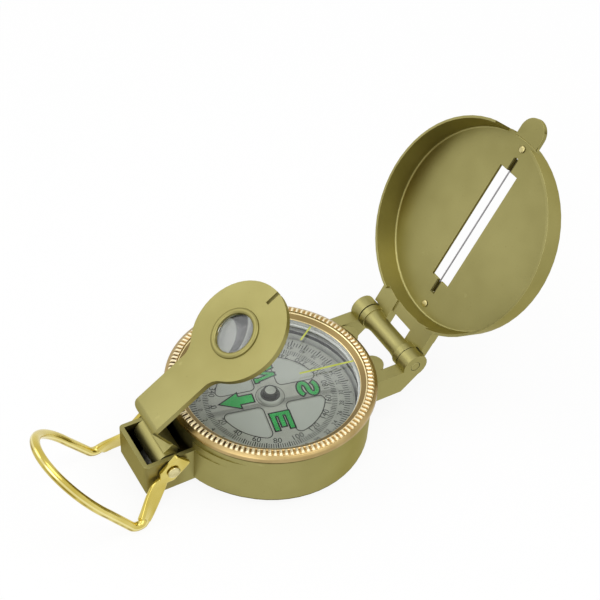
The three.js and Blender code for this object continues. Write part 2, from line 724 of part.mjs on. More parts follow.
// The eyepiece bracket, drawn folded about its pin axis: the plate lies toward +Y above the bezel.
function makeEyepieceBracket() {
  const neckRun = Math.sqrt((eyeDisc + eyeNeck) ** 2 - (eyeHandle + eyeNeck) ** 2);
  const neckStart = eyeReach - neckRun;
  const neckTurn = Math.atan2(neckRun, eyeHandle + eyeNeck);
  const plateStart = legOuter + eyeBend;
  const bendEnd = plateStart + 0.4;
  const plan = new THREE.Shape();
  plan.moveTo(-eyeHandle, plateStart);
  plan.lineTo(eyeHandle, plateStart);
  plan.lineTo(eyeHandle, neckStart);
  plan.absarc(eyeHandle + eyeNeck, neckStart, eyeNeck, Math.PI, Math.PI - neckTurn, true);
  plan.absarc(0, eyeReach, eyeDisc, -neckTurn, Math.PI + neckTurn, false);
  plan.absarc(-eyeHandle - eyeNeck, neckStart, eyeNeck, neckTurn, 0, true);
  plan.lineTo(-eyeHandle, plateStart);
  const plate = raised(plan, eyePlateZ, eyePlateTop, 20);

  // The leg turns down from the handle, round at its outer corners, to a flat step beside the roller.
  const legEnd = new THREE.Shape();
  legEnd.moveTo(eyeHandle, bendEnd);
  legEnd.lineTo(-eyeHandle, bendEnd);
  legEnd.absarc(eyeCorner - eyeHandle, legOuter + eyeCorner, eyeCorner, Math.PI, 1.5 * Math.PI, false);
  legEnd.absarc(eyeHandle - eyeCorner, legOuter + eyeCorner, eyeCorner, 1.5 * Math.PI, 2 * Math.PI, false);
  const leg = drawnAlongX(shapeOf([
    ...arcPoints(plateStart, eyePlateTop - eyeBend, eyeBend, 180, 90, 6),
    [bendEnd, eyePlateTop],
    [bendEnd, eyePlateZ],
    ...arcPoints(legInner + 0.6, eyePlateZ - 0.6, 0.6, 90, 180, 3).slice(1),
    [legInner, 0],
    [legOuter, 0],
  ]), -eyeHandle, eyeHandle).intersect(raised(legEnd, -1, eyePlateTop + 1, 5));
  const foot = drawnAlongX(shapeOf([
    [legInner, eyeFlat],
    [legInner, rollerRadius * 0.3],
    [rollerRadius * 0.7, -rollerRadius * 0.6],
    [0, 0],
    [eyeFoot, eyeFlat],
  ]), -eyeHandle, eyeHandle);
  const roller = rodAlongX(rollerRadius, -rollerHalf, rollerHalf, 0, 0);
  const bore = rodAlongX(eyePinRadius + boreGap, -rollerHalf - 1, rollerHalf + 1, 0, 0);
  const lensHole = turned([
    [0, eyePlateZ - 1],
    [lensRingRadius - lensRingTube + seatGap, eyePlateZ - 1],
    [lensRingRadius - lensRingTube + seatGap, eyePlateTop + 1],
    [0, eyePlateTop + 1],
  ], lensCentre, 30);
  const tip = eyeReach + eyeDisc;
  const notch = block(-sightHalf, sightHalf, tip - sightNotch, tip + 1, eyePlateZ - 1, eyePlateTop + 1);
  return joined([plate, leg, foot, roller]).subtract(joined([bore, lensHole, notch]));
}

// The ring pressed into the eyepiece plate: a raised flange with a tube that holds the lens.
const makeLensRing = () => {
  const tube = lensRingRadius - lensRingTube;
  const opening = lensRingRadius - lensRingWidth;
  const flange = eyePlateTop + seatGap;
  return turned([
    [lensRingRadius, flange],
    [lensRingRadius, flange + lensRingRaise * 0.7],
    [lensRingRadius - 0.3, flange + lensRingRaise],
    [opening + 0.3, flange + lensRingRaise],
    [opening, flange],
    [opening, flange - 0.3],
    [lensRadius + seatGap, flange - 0.3],
    [lensRadius + seatGap, eyePlateZ],
    [tube, eyePlateZ],
    [tube, flange],
    [lensRingRadius, flange],
  ], lensCentre, 30);
};

const makeMagnifyingLens = () => {
  const middle = (eyePlateZ + eyePlateTop) / 2 - 0.05;
  const dome = (side) => Array.from({ length: 5 }, (_, i) => {
    const radius = (lensRadius * i) / 4;
    return [radius, middle + side * (lensEdge / 2 + lensSag * (1 - (i / 4) ** 2))];
  });
  return turned([...dome(-1), ...dome(1).reverse()], lensCentre, 24);
};

// The eyepiece pin: a shaft through tail box, roller and loop tabs with a peened head at each end.
const makeEyepiecePin = () => {
  const shaft = loopTabX + loopTab + runningGap;
  const end = shaft + eyePinHeadHeight;
  return turnedAlongX([
    [-end, 0],
    [-end, eyePinHead * 0.6],
    [-shaft - eyePinHeadHeight * 0.35, eyePinHead],
    [-shaft, eyePinHead],
    [-shaft, eyePinRadius],
    [shaft, eyePinRadius],
    [shaft, eyePinHead],
    [shaft + eyePinHeadHeight * 0.35, eyePinHead],
    [end, eyePinHead * 0.6],
    [end, 0],
  ], eyePinY, eyePinZ);
};

const makeLidPin = () => rodAlongX(hingePinRadius, -earOuter, earOuter, hingeY, hingeZ);

// The leaf spring that bears on the roller from below: an arched strip on the tail box floor.
function makeLeafSpring() {
  const ends = tailFloor + seatGap;
  const crown = eyePinZ - rollerRadius - runningGap - springThickness;
  const reach = tailReach - tailWall - eyePinReach - runningGap;
  const steps = 10;
  const lower = Array.from({ length: steps + 1 }, (_, i) => {
    const t = -1 + (2 * i) / steps;
    return [eyePinY + reach * t, ends + (crown - ends) * 0.5 * (1 + Math.cos(Math.PI * t))];
  });
  const upper = lower.map(([y, z]) => [y, z + springThickness]).reverse();
  return drawnAlongX(shapeOf([...lower, ...upper]), -springWidth / 2, springWidth / 2);
}

// The thumb loop, drawn about the pin axis in the pose it has here.
function makeThumbLoop() {
  const drop = radians(loopArmDrop);
  const rise = radians(loopRise);
  const armWay = new THREE.Vector3(0, -Math.cos(drop), -Math.sin(drop));
  const loopWay = new THREE.Vector3(0, -Math.cos(rise), Math.sin(rise));
  const acrossX = new THREE.Vector3(1, 0, 0);
  const bendAt = armWay.clone().multiplyScalar(loopArm);
  const turn = drop + rise;
  const cut = loopBend * Math.tan(turn / 2);
  const tabMiddle = loopTabX + loopTab / 2;

  // One half from the tab to the end of the loop: x, place in the y-z plane, way along it, section.
  const half = [];
  const armSteps = 8;
  const armStart = loopNeck - 0.9;
  for (let i = 0; i <= armSteps; i += 1) {
    const along = armStart + ((loopArm - cut - armStart) * i) / armSteps;
    const part = (along - armStart) / (loopArm - armStart);
    const flare = part * part * (3 - 2 * part);
    const leaf = Math.sin(Math.PI * part ** 0.6);
    half.push({
      x: tabMiddle + (loopHalf - tabMiddle) * flare,
      place: armWay.clone().multiplyScalar(along),
      way: armWay,
      halfWide: loopNeckHalf * (1 - flare) + loopWire * flare + (loopLeafHalf - loopNeckHalf) * leaf,
      halfThin: (loopTab / 2 - 0.05) * (1 - flare) + (loopLeafThin * (1 - flare) + loopWire * flare) * flare,
      squareness: 2 + 2 * (1 - part),
    });
  }
  const bendSteps = 5;
  const bendCentre = bendAt.clone().addScaledVector(armWay, -cut);
  const inward = new THREE.Vector3(0, -Math.sin(drop), Math.cos(drop));
  bendCentre.addScaledVector(inward, loopBend);
  for (let i = 1; i <= bendSteps; i += 1) {
    const angle = (turn * i) / bendSteps;
    const way = new THREE.Vector3(0, -Math.cos(drop - angle), -Math.sin(drop - angle));
    const outward = new THREE.Vector3(0, Math.sin(drop - angle), -Math.cos(drop - angle));
    half.push({
      x: loopHalf,
      place: bendCentre.clone().addScaledVector(outward, loopBend),
      way,
      halfWide: loopWire,
      halfThin: loopWire,
      squareness: 2,
    });
  }
  const endHalf = loopHalf - loopTaper;
  const sideSteps = 2;
  for (let i = 1; i <= sideSteps; i += 1) {
    const along = cut + ((loopStraight - cut) * i) / sideSteps;
    half.push({
      x: loopHalf - (loopTaper * (along - cut)) / (loopStraight - cut),
      place: bendAt.clone().addScaledVector(loopWay, along),
      way: loopWay,
      halfWide: loopWire,
      halfThin: loopWire,
      squareness: 2,
    });
  }
  const endSteps = 10;
  for (let i = 1; i <= endSteps; i += 1) {
    const angle = (Math.PI / 2) * (i / endSteps);
    half.push({
      x: endHalf * Math.cos(angle),
      place: bendAt.clone().addScaledVector(loopWay, loopStraight + loopEnd * Math.sin(angle)),
      way: loopWay,
      halfWide: loopWire,
      halfThin: loopWire,
      squareness: 2,
    });
  }
  const otherHalf = half.slice(0, -1).reverse().map((station) => ({ ...station, x: -station.x }));
  const whole = [...half, ...otherHalf].map((station) => ({
    ...station,
    centre: station.place.clone().setX(station.x),
    wide: acrossX.clone().cross(station.way),
  }));
  const stations = whole.map((station, i) => {
    const before = whole[Math.max(0, i - 1)].centre;
    const after = whole[Math.min(whole.length - 1, i + 1)].centre;
    const along = after.clone().sub(before).normalize();
    const thin = along.clone().cross(station.wide).normalize();
    return { ...station, thin };
  });
  const wire = swept(stations, 10);

  const tabOutline = [
    [-loopTabBack, -loopTabHalf],
    [loopNeck * 0.55, -loopTabHalf],
    [loopNeck, -loopNeckHalf],
    [loopNeck, loopNeckHalf],
    [loopNeck * 0.55, loopTabHalf],
    [-loopTabBack, loopTabHalf],
  ].map(([along, across]) => [
    along * armWay.y - across * armWay.z,
    along * armWay.z + across * armWay.y,
  ]);
  const tabs = [loopTabX, -loopTabX - loopTab].map((x) => drawnAlongX(shapeOf(tabOutline), x, x + loopTab));
  const bore = rodAlongX(eyePinRadius + boreGap, -loopTabX - 2, loopTabX + 2, 0, 0);
  return joined([wire, ...tabs]).subtract(bore);
}

const compass = new THREE.Group();
const lid = new THREE.Group();
lid.position.set(0, hingeY, hingeZ);
lid.rotation.x = -radians(lidOpen);
const eyepiece = new THREE.Group();
eyepiece.position.set(0, eyePinY, eyePinZ);
eyepiece.rotation.x = radians(eyeRaise);
const thumbLoop = new THREE.Group();
thumbLoop.position.set(0, eyePinY, eyePinZ);
compass.add(lid, eyepiece, thumbLoop);

const casting = { color: 0xa79f62, roughness: 0.5, metalness: 0.4 };
const brass = { color: 0xc9a66a, roughness: 0.3, metalness: 0.9 };
const steel = { color: 0xb9bbb6, roughness: 0.35, metalness: 1.0 };
const plastic = { color: 0xc9ccc8, roughness: 0.45, metalness: 0.0 };
const clear = { color: 0xe6efec, roughness: 0.05, metalness: 0.0 };
const dark = { color: 0x55575a, roughness: 0.5, metalness: 0.8 };

function addPiece(group, name, solid, finish) {
  const mesh = new THREE.Mesh(toGeometry(solid), new THREE.MeshStandardMaterial(finish));
  mesh.name = name;
  group.add(mesh);
}

addPiece(compass, 'case_shell', makeCaseShell(), casting);
addPiece(compass, 'bezel_ring', makeBezelRing(), brass);
addPiece(compass, 'bezel_glass', makeBezelGlass(), clear);
addPiece(compass, 'glass_retainer', makeGlassRetainer(), brass);
addPiece(compass, 'bezel_spring', makeBezelSpring(), steel);
addPiece(compass, 'capsule_cup', makeCapsuleCup(), plastic);
addPiece(compass, 'capsule_window', makeCapsuleWindow(), clear);
addPiece(compass, 'dial_card', makeDialCard(), plastic);
addPiece(compass, 'dial_hub', makeDialHub(), plastic);
addPiece(compass, 'dial_magnet', makeDialMagnet(), dark);
addPiece(compass, 'pivot_jewel', makePivotJewel(), clear);
addPiece(compass, 'pivot_post', makePivotPost(), steel);
addPiece(compass, 'lid_hinge_pin', makeLidPin(), brass);
addPiece(compass, 'eyepiece_hinge_pin', makeEyepiecePin(), steel);
addPiece(compass, 'eyepiece_leaf_spring', makeLeafSpring(), steel);
addPiece(lid, 'lid_shell', makeLidShell(), casting);
addPiece(lid, 'sighting_wire', makeSightingWire(), steel);
addPiece(lid, 'wire_rivet_hinge_end', makeWireRivet(1), brass);
addPiece(lid, 'wire_rivet_tab_end', makeWireRivet(-1), brass);
addPiece(eyepiece, 'eyepiece_bracket', makeEyepieceBracket(), casting);
addPiece(eyepiece, 'lens_ring', makeLensRing(), casting);
addPiece(eyepiece, 'magnifying_lens', makeMagnifyingLens(), clear);
addPiece(thumbLoop, 'thumb_loop', makeThumbLoop(), brass);

export default compass;
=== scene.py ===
from math import cos, pi, radians, sin

import bmesh
import bpy
import numpy as np
from mathutils import Matrix, Vector


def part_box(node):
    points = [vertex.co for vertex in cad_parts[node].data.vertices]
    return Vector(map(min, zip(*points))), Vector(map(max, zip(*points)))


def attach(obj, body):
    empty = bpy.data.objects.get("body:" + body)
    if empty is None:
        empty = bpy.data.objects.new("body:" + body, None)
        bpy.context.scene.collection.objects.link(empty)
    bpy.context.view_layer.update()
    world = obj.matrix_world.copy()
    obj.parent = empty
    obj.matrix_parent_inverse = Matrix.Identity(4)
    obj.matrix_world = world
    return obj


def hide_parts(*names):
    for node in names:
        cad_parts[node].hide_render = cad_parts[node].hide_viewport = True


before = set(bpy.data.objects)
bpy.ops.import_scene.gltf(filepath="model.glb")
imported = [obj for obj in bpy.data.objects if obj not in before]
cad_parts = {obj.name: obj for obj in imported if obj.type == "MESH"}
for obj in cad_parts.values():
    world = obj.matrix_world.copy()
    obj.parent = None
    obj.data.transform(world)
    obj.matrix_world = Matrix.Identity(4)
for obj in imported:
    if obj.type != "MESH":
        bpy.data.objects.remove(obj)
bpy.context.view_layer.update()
mm = 0.001
print("frame loaded with", len(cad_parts), "solids")


def tint(red, green, blue):  # screen colour, 0 to 255, to the linear colour that a shader takes
    screen = np.array([red, green, blue]) / 255
    linear = np.where(screen <= 0.04045, screen / 12.92, ((screen + 0.055) / 1.055) ** 2.4)
    return (*linear.tolist(), 1.0)


class Flow:  # one output socket, so that shader maths reads as plain sums
    def __init__(self, finish, socket):
        self.finish = finish
        self.socket = socket

    def join(self, operation, first, second):
        return self.finish.node("Math", {"operation": operation}, {0: first, 1: second})

    def __add__(self, other):
        return self.join("ADD", self, other)

    __radd__ = __add__

    def __sub__(self, other):
        return self.join("SUBTRACT", self, other)

    def __rsub__(self, other):
        return self.join("SUBTRACT", other, self)

    def __mul__(self, other):
        return self.join("MULTIPLY", self, other)

    __rmul__ = __mul__

    def __pow__(self, other):
        return self.join("POWER", self, other)

    def __abs__(self):
        return self.join("ABSOLUTE", self, 0.0)


class Finish:  # the node tree of one material, or of the world
    def __init__(self, owner):
        self.owner = owner
        owner.use_nodes = True
        self.tree = owner.node_tree
        self.tree.nodes.clear()

    def node(self, kind, settings, sockets, output=0):
        made = self.tree.nodes.new("ShaderNode" + kind)
        for key, value in settings.items():
            setattr(made, key, value)
        for key, value in sockets.items():
            if isinstance(value, Flow):
                self.tree.links.new(value.socket, made.inputs[key])
            else:
                made.inputs[key].default_value = value
        return Flow(self, made.outputs[output]) if len(made.outputs) else None

    def place(self, stretch=(1, 1, 1), source="Object"):
        spot = self.node("TexCoord", {}, {}, source)
        return self.node("Mapping", {}, {"Vector": spot, "Scale": stretch})

    def axis(self, name, source="Object"):
        return self.node("SeparateXYZ", {}, {0: self.node("TexCoord", {}, {}, source)}, name)

    def facing(self, name):  # the share of the surface normal along one axis
        return self.node("SeparateXYZ", {}, {0: self.node("NewGeometry", {}, {}, "Normal")}, name)

    def toward(self, way, source="Object"):  # how far the place, or the normal, lies along a direction
        spot = self.node("TexCoord", {}, {}, source)
        return self.node("VectorMath", {"operation": "DOT_PRODUCT"}, {0: spot, 1: way}, "Value")

    def mark(self, name):  # a share that the mesh carries at each point
        return self.node("Attribute", {"attribute_name": name}, {}, "Fac")

    def grain(self, scale, detail=2.0, stretch=(1, 1, 1), source="Object"):
        return self.node("TexNoise", {}, {
            "Vector": self.place(stretch, source), "Scale": scale, "Detail": detail, "Roughness": 0.55,
        })

    def between(self, value, low, high):  # 0 below low, 1 above high, smooth on the way
        return self.node("MapRange", {"interpolation_type": "SMOOTHSTEP"}, {
            "Value": value, "From Min": low, "From Max": high,
        })

    def fade(self, place, low, high):  # the same for a place in millimetres; low may be the larger
        return self.between(place, low * mm, high * mm)

    def stripe(self, place, start, full, last, stop, size=mm):  # 1 from full to last, 0 outside
        return self.between(place, start * size, full * size) * self.between(place, stop * size, last * size)

    def mixed(self, share, *tones):  # tones are outputs, or screen colours from 0 to 255
        first, second = (tone if isinstance(tone, Flow) else tint(*tone) for tone in tones)
        return self.node("Mix", {"data_type": "RGBA"}, {0: share, 6: first, 7: second}, 2)

    def seen(self):  # 1 for what the camera, a mirror or a lens sees, 0 for light on the piece
        names = "Is Camera Ray", "Is Glossy Ray", "Is Transmission Ray"
        camera, mirror, glass = (self.node("LightPath", {}, {}, name) for name in names)
        return self.node("Clamp", {}, {"Value": camera + mirror + glass})

    def dressed(self, sockets, height, depth, strength):  # the bump's depth is in millimetres
        bump = self.node("Bump", {}, {"Height": height, "Strength": strength, "Distance": depth * mm})
        return self.close(self.node("BsdfPrincipled", {}, {**sockets, "Normal": bump}))

    def close(self, shader):
        self.node("OutputMaterial", {}, {"Surface": shader})
        return self.owner


def newFinish(name):
    return Finish(bpy.data.materials.new(name))


# Two numbers are the ends of a fade, none and all; three are a colour; four a stripe: none, all, all, none
box = {
    "half": (7.1, 6.95), "end": (-38.35, -38.2), "front": (-25.0, -25.3), "floor": (0.9, 1.2),
    "rim": (10.65, 8.35), "tail": (-27.5, -31), "upright": (0.8, 0.5), "share": 0.7,
}
drum = {"wall": (25.9, 26.1, 26.7, 26.9), "seam": (14.3, 14.8), "foot": (1.0, 0.6), "share": 0.8}
slot = {
    "half": (3.45, 3.4), "cut": (0.6, 0.9), "wall": (100, 91, 46),
    "notch": (0.87, 0.75), "past": 0.2, "groove": (58, 50, 22), "share": 0.85,
}
dish = {
    "open": 118, "wirePast": 0.65, "wall": (26.9, 26.6), "floor": (0.1, 0.3), "dim": (-18.5, -26.6),
    "corner": (104, 90, 42), "share": 0.75,
}
# the tab's step: a painted highlight over the shade of its crease
tab = {
    "step": (25.9, 26.0, 27.4, 27.5), "half": (4.15, 3.95), "steep": (0.985, 0.93), "far": (0, 18.5),
    "rubbedAndPaintedHighlight": (194, 186, 124),
}


def boxShade(made):  # painted shade on the inner walls and the floor of the tail box, fading out toward its rim
    x, y, z = (made.axis(name) for name in "XYZ")
    walls = made.fade(abs(x), *box["half"]) * made.fade(y, *box["end"]) * made.fade(y, *box["front"])
    return walls * made.fade(z, *box["floor"]) * made.fade(z, *box["rim"])


def tailShade(made):  # on the upright sides of the tail box, which stand in the loop's shade
    upright = made.between(made.facing("Z"), *box["upright"])
    return made.fade(made.axis("Y"), *box["tail"]) * upright * box["share"]


def seamShade(made):  # painted shade on the drum's wall: a shadow in the seam under the bezel and a dark line along the bottom edge
    x, y, z = (made.axis(name) for name in "XYZ")
    wall = made.stripe((x * x + y * y) ** 0.5, *drum["wall"])
    return wall * (made.fade(z, *drum["seam"]) + made.fade(z, *drum["foot"])) * drum["share"]


def slotShade(made):  # painted shade on the cut sides of the sight slot and of its wire notches, which face along X
    cut = made.between(abs(made.facing("X")), *slot["cut"])
    return cut * made.fade(abs(made.axis("X")), *slot["half"])


def notchShade(made):  # painted shade in and beside the two notches, which lie under the ends of the wire
    past = slot["past"] * mm
    along = made.stripe(made.axis("Z"), wireLow.z - past, wireLow.z, wireHigh.z, wireHigh.z + past, 1)
    return made.fade(abs(made.axis("X")), *slot["notch"]) * along * slot["share"]


wireLow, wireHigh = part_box("sighting_wire")
lidTurn = radians(dish["open"])
lidAlong = Vector((0, -cos(lidTurn), sin(lidTurn)))  # from the lid's middle away from the hinge
lidDepth = Vector((0, -sin(lidTurn), -cos(lidTurn)))  # from the wire out of the dish
lidMiddle = (wireLow + wireHigh) / 2 - lidAlong * dish["wirePast"] * mm


def lidPlace(made):  # place across and along the lid, and the distance from its middle
    x = made.axis("X")
    along = made.toward(lidAlong) - lidMiddle.dot(lidAlong)
    return x, along, (x * x + along * along) ** 0.5


def dishShade(made):  # on the lid's floor, deepening toward the wall that stands away from the light
    x, _, out = lidPlace(made)
    depth = made.toward(lidDepth) - lidMiddle.dot(lidDepth)
    floor = made.fade(out, *dish["wall"]) * made.fade(depth, *dish["floor"])
    return made.fade(x, *dish["dim"]) * floor * dish["share"]


def tabShade(made):  # painted highlight on the small step at the root of the tab, lightening the shade of its crease
    x, along, out = lidPlace(made)
    step = made.stripe(out, *tab["step"]) * made.fade(abs(x), *tab["half"])
    steep = made.between(made.toward(lidDepth, "Normal"), *tab["steep"])
    return step * steep * made.fade(along, *tab["far"])


# tones of the castings; the tail box's dark tone and the tail and seam tones are painted shade, and the edge
# tone is wear with a painted highlight
castingLook = {
    "dark": (143, 136, 84), "light": (166, 159, 104), "rough": 0.38, "metal": 0.96, "graze": (224, 216, 174),
    "wornAndPaintedHighlight": (204, 196, 136), "wornRough": 0.27, "rubbedAndPaintedHighlight": (214, 204, 146), "rubbedShare": 0.12,
    "pit": (96, 88, 44), "pitShare": 0.2, "boxPaintedShade": (16, 14, 7), "tail": (132, 122, 72), "seam": (64, 56, 24),
    "clouds": 38, "blast": 5200, "scratches": 260, "pits": 1900, "bump": (0.012, 0.35),
}


def castingFinish(name, dark, light, rough, shades=()):
    # satin cast metal: slow clouds of tone, fine blasted grain, a few thin rubbed scratches and dark pits
    look = castingLook
    made = newFinish(name)
    cloud = made.grain(look["clouds"], 3)
    blast = made.grain(look["blast"])
    scratch = made.between(made.grain(look["scratches"], 3, (1, 0.06, 1)), 0.70, 0.78)
    pit = made.between(made.grain(look["pits"], 1), 0.72, 0.78)
    tone = made.mixed(made.between(cloud, 0.2, 0.8), dark, light)
    rubbedAndPaintedHighlight = made.mixed(scratch * look["rubbedShare"], tone, look["rubbedAndPaintedHighlight"])
    colour = made.mixed(pit * look["pitShare"], rubbedAndPaintedHighlight, look["pit"])
    # each painted shade and painted highlight laid over the colour in turn
    for shade, shadeTone in shades:
        colour = made.mixed(shade(made), colour, shadeTone)
    return made.dressed({
        "Base Color": colour,
        "Metallic": look["metal"],
        "Specular Tint": tint(*look["graze"]),
        "Roughness": rough - 0.05 + cloud * 0.10 + blast * 0.06 - scratch * 0.08,
    }, blast - scratch * 0.6, *look["bump"])


# painted shade on the case: the tail box's upright sides, the seam under the bezel and the bottom edge, and
# the inside of the tail box
caseShades = [
    (tailShade, castingLook["tail"]), (seamShade, castingLook["seam"]), (boxShade, castingLook["boxPaintedShade"]),
]
# painted shade on the lid's floor, the slot's sides and the notches, and a painted highlight on the tab's
# step
lidShades = [
    (dishShade, dish["corner"]), (slotShade, slot["wall"]),
    (notchShade, slot["groove"]), (tabShade, tab["rubbedAndPaintedHighlight"]),
]
castTones = castingLook["dark"], castingLook["light"], castingLook["rough"]
# the lighter edge tone for the broken edges is wear with a painted highlight
edgeTones = castingLook["light"], castingLook["wornAndPaintedHighlight"], castingLook["wornRough"]
casting = castingFinish("satinCasting", *castTones)
caseCasting = castingFinish("caseCastingPaintedShade", *castTones, caseShades)
lidCasting = castingFinish("slottedCasting", *castTones, lidShades)
castingEdge = castingFinish("wornCastingEdgeWithHighlight", *edgeTones)

# the tip tone is rubbed wear with a painted highlight; the edge-line tone is a painted highlight, the wall
# tone painted light on the shaded step, the slope tone and the tail-side groove tone painted dark reflection
bezelLook = {
    "tip": (250, 236, 198), "low": (184, 148, 88), "top": (186, 162, 112), "skirt": (164, 140, 90),
    "slope": (140, 120, 78), "wall": (218, 182, 120), "line": (246, 226, 172), "rough": 0.24,
    "grooveDarkReflection": (66, 46, 20), "grooveReflectionFade": (-12, -21), "clouds": 140, "turning": 900, "bump": (0.01, 0.3),
}


def bezelFinish():
    # rose brass: bright rubbed tooth tips with a painted highlight, tarnish in the grooves, a painted dark
    # reflection on the sloped face and in the grooves toward the tail, a painted highlight on the edge lines,
    # painted light on the step wall, fine turning lines
    look = bezelLook
    made = newFinish("roseBrass")
    low, tip, wall, line, slope = (made.mark(name) for name in ("low", "tip", "wall", "line", "slope"))
    turned = made.node("TexWave", {"wave_type": "RINGS", "rings_direction": "Z"}, {
        "Vector": made.place(), "Scale": look["turning"],
        "Distortion": 1.5, "Detail": 2.0, "Detail Scale": 3.0,
    }, "Fac")
    cloud = made.grain(look["clouds"], 3)
    flat = made.mixed(made.between(cloud, 0.3, 0.75), look["skirt"], look["top"])
    sloped = made.mixed(slope * (0.75 + cloud * 0.4), flat, look["slope"])
    lined = made.mixed(line, made.mixed(wall, sloped, look["wall"]), look["line"])
    tipped = made.mixed(tip, lined, look["tip"])
    # painted dark reflection in the grooves on the side toward the tail
    grooveDarkReflection = made.fade(made.axis("Y"), *look["grooveReflectionFade"])
    groove = made.mixed(grooveDarkReflection, look["low"], look["grooveDarkReflection"])
    return made.dressed({
        "Base Color": made.mixed(made.between(low, 0.2, 0.9), tipped, groove),
        "Metallic": 1.0, "Roughness": look["rough"] + cloud * 0.08 + low * 0.22 + slope * 0.1,
    }, turned + cloud * 0.5, *look["bump"])


roseBrass = bezelFinish()

# the dark and bright stripes along the wire are painted reflection: painted shade and painted highlight
brassLook = {
    "dark": (198, 178, 84), "light": (224, 208, 124), "rough": 0.14, "bump": (0.01, 0.2),
    "paintedDarkReflection": (116, 88, 16), "paintedDarkReflectionShare": 0.8, "paintedDarkReflectionRound": (0.275, 0.30, 0.32, 0.35),
    "paintedHighlight": (255, 246, 186), "paintedHighlightShare": 0.5, "paintedHighlightRound": (0.195, 0.22, 0.25, 0.275),
}


def brassFinish():
    # bright drawn brass: painted dark reflection and painted highlight as stripes along the round wire, the
    # dark ones broken, and finger marks
    look = brassLook
    made = newFinish("drawnBrass")
    drawn = made.grain(40, 3, (0.05, 3.0, 1), "UV")
    smudge = made.grain(110)
    broken = made.between(made.grain(2.2, 2, (1, 0.2, 1), "UV"), 0.4, 0.6)
    around = abs(made.axis("Y", "UV") - 0.5)
    wired = made.mark("drawn")
    # the dark stripe is a painted dark reflection, the bright one a painted highlight
    dark = made.stripe(around, *look["paintedDarkReflectionRound"], 1) * broken * wired
    highlightBand = made.stripe(around, *look["paintedHighlightRound"], 1) * wired
    tone = made.mixed(made.between(smudge, 0.3, 0.75), look["dark"], look["light"])
    highlit = made.mixed(highlightBand * look["paintedHighlightShare"], tone, look["paintedHighlight"])
    return made.dressed({
        "Base Color": made.mixed(dark * look["paintedDarkReflectionShare"], highlit, look["paintedDarkReflection"]),
        "Metallic": 1.0, "Roughness": look["rough"] + made.between(smudge, 0.5, 0.8) * 0.06 + drawn * 0.04,
    }, drawn + smudge * 0.3, *look["bump"])


drawnBrass = brassFinish()


def pinFinish(name, dark, light, rough):
    # turned rod: fine grain from the tool and a little stain
    made = newFinish(name)
    tooling = made.grain(900)
    stain = made.grain(420, 3)
    return made.dressed({
        "Base Color": made.mixed(made.between(stain, 0.35, 0.7), dark, light),
        "Metallic": 1.0, "Roughness": rough + tooling * 0.12,
    }, tooling, 0.015, 0.3)


paleBrass = pinFinish("paleBrass", (194, 182, 126), (222, 212, 160), 0.24)
brightSteel = pinFinish("brightSteel", (150, 150, 148), (198, 198, 194), 0.24)
# dark steel for the hub's rim, also laid on the hub's skirt as painted shade
dullSteelAndShade = pinFinish("dullSteelAndShade", (62, 62, 58), (88, 88, 84), 0.34)
magnetSteel = pinFinish("magnetSteel", (74, 76, 80), (102, 104, 108), 0.45)

wire = {
    "dark": (132, 130, 132), "light": (168, 166, 168), "rough": 0.3,
    "ends": (50, 44, 20), "clamped": 0.085, "soft": 0.2,
}


def wireFinish():
    # drawn steel, bright over the slot, with painted shade at both ends where the notches hold it
    made = newFinish("wireSteel")
    clamped = (wireHigh.z - wireLow.z) * wire["clamped"]
    first, last, soft = wireLow.z + clamped, wireHigh.z - clamped, wire["soft"] * mm
    free = made.stripe(made.axis("Z"), first - soft, first, last, last + soft, 1)
    drawn = made.grain(900)
    tone = made.mixed(drawn, wire["dark"], wire["light"])
    return made.dressed({
        "Base Color": made.mixed(free, wire["ends"], tone),
        "Metallic": 1.0, "Roughness": wire["rough"] + drawn * 0.12,
    }, drawn, 0.01, 0.3)


wireSteel = wireFinish()

# painted shadow of the gap beside the card, laid on the capsule's wall
gapShadow = {"height": (11.1, 11.25, 12.25, 12.4), "tone": (40, 42, 42)}
fleckTone = (120, 122, 120)


def sealShade(made):  # painted shadow: a dark band near the top of the capsule's wall, where the gap beside the card lies in shade
    return made.stripe(made.axis("Z"), *gapShadow["height"])


def plasticFinish(name, dark, light, rough, fleck, shades=()):
    # moulded plastic or painted card: soft mottle, a few flecks, faint orange peel
    made = newFinish(name)
    mottle = made.grain(210, 4)
    peel = made.grain(2400)
    flecks = made.between(made.grain(1500, 1), 0.69, 0.74)
    tone = made.mixed(made.between(mottle, 0.3, 0.7), dark, light)
    colour = made.mixed(flecks * fleck, tone, fleckTone)
    # each painted shade laid over the colour in turn
    for shade, shadeTone in shades:
        colour = made.mixed(shade(made), colour, shadeTone)
    return made.dressed({
        "Base Color": colour,
        "Roughness": rough + peel * 0.12,
        "Specular IOR Level": 0.15,
    }, peel + mottle * 0.5, 0.01, 0.3)


capsuleShades = [(sealShade, gapShadow["tone"])]
capsuleWhite = plasticFinish("capsuleWhite", (240, 241, 236), (250, 251, 246), 0.38, 0.05, capsuleShades)
wallWhite = plasticFinish("wallWhite", (242, 243, 240), (251, 252, 249), 0.38, 0.05)
hubWhite = plasticFinish("hubWhite", (176, 179, 170), (204, 207, 198), 0.30, 0.10)
cardInk = plasticFinish("cardInk", (10, 12, 12), (28, 30, 30), 0.60, 0.04)
greenPaint = plasticFinish("greenPaint", (34, 172, 76), (58, 196, 98), 0.45, 0.03)
sightPaint = plasticFinish("sightPaint", (188, 198, 80), (204, 212, 108), 0.40, 0.02)

sheetLook = {
    "through": (0.985, 0.99, 0.985, 1), "ior": 1.45, "smears": 70, "smearRough": 0.12, "smearShine": 0.004,
}


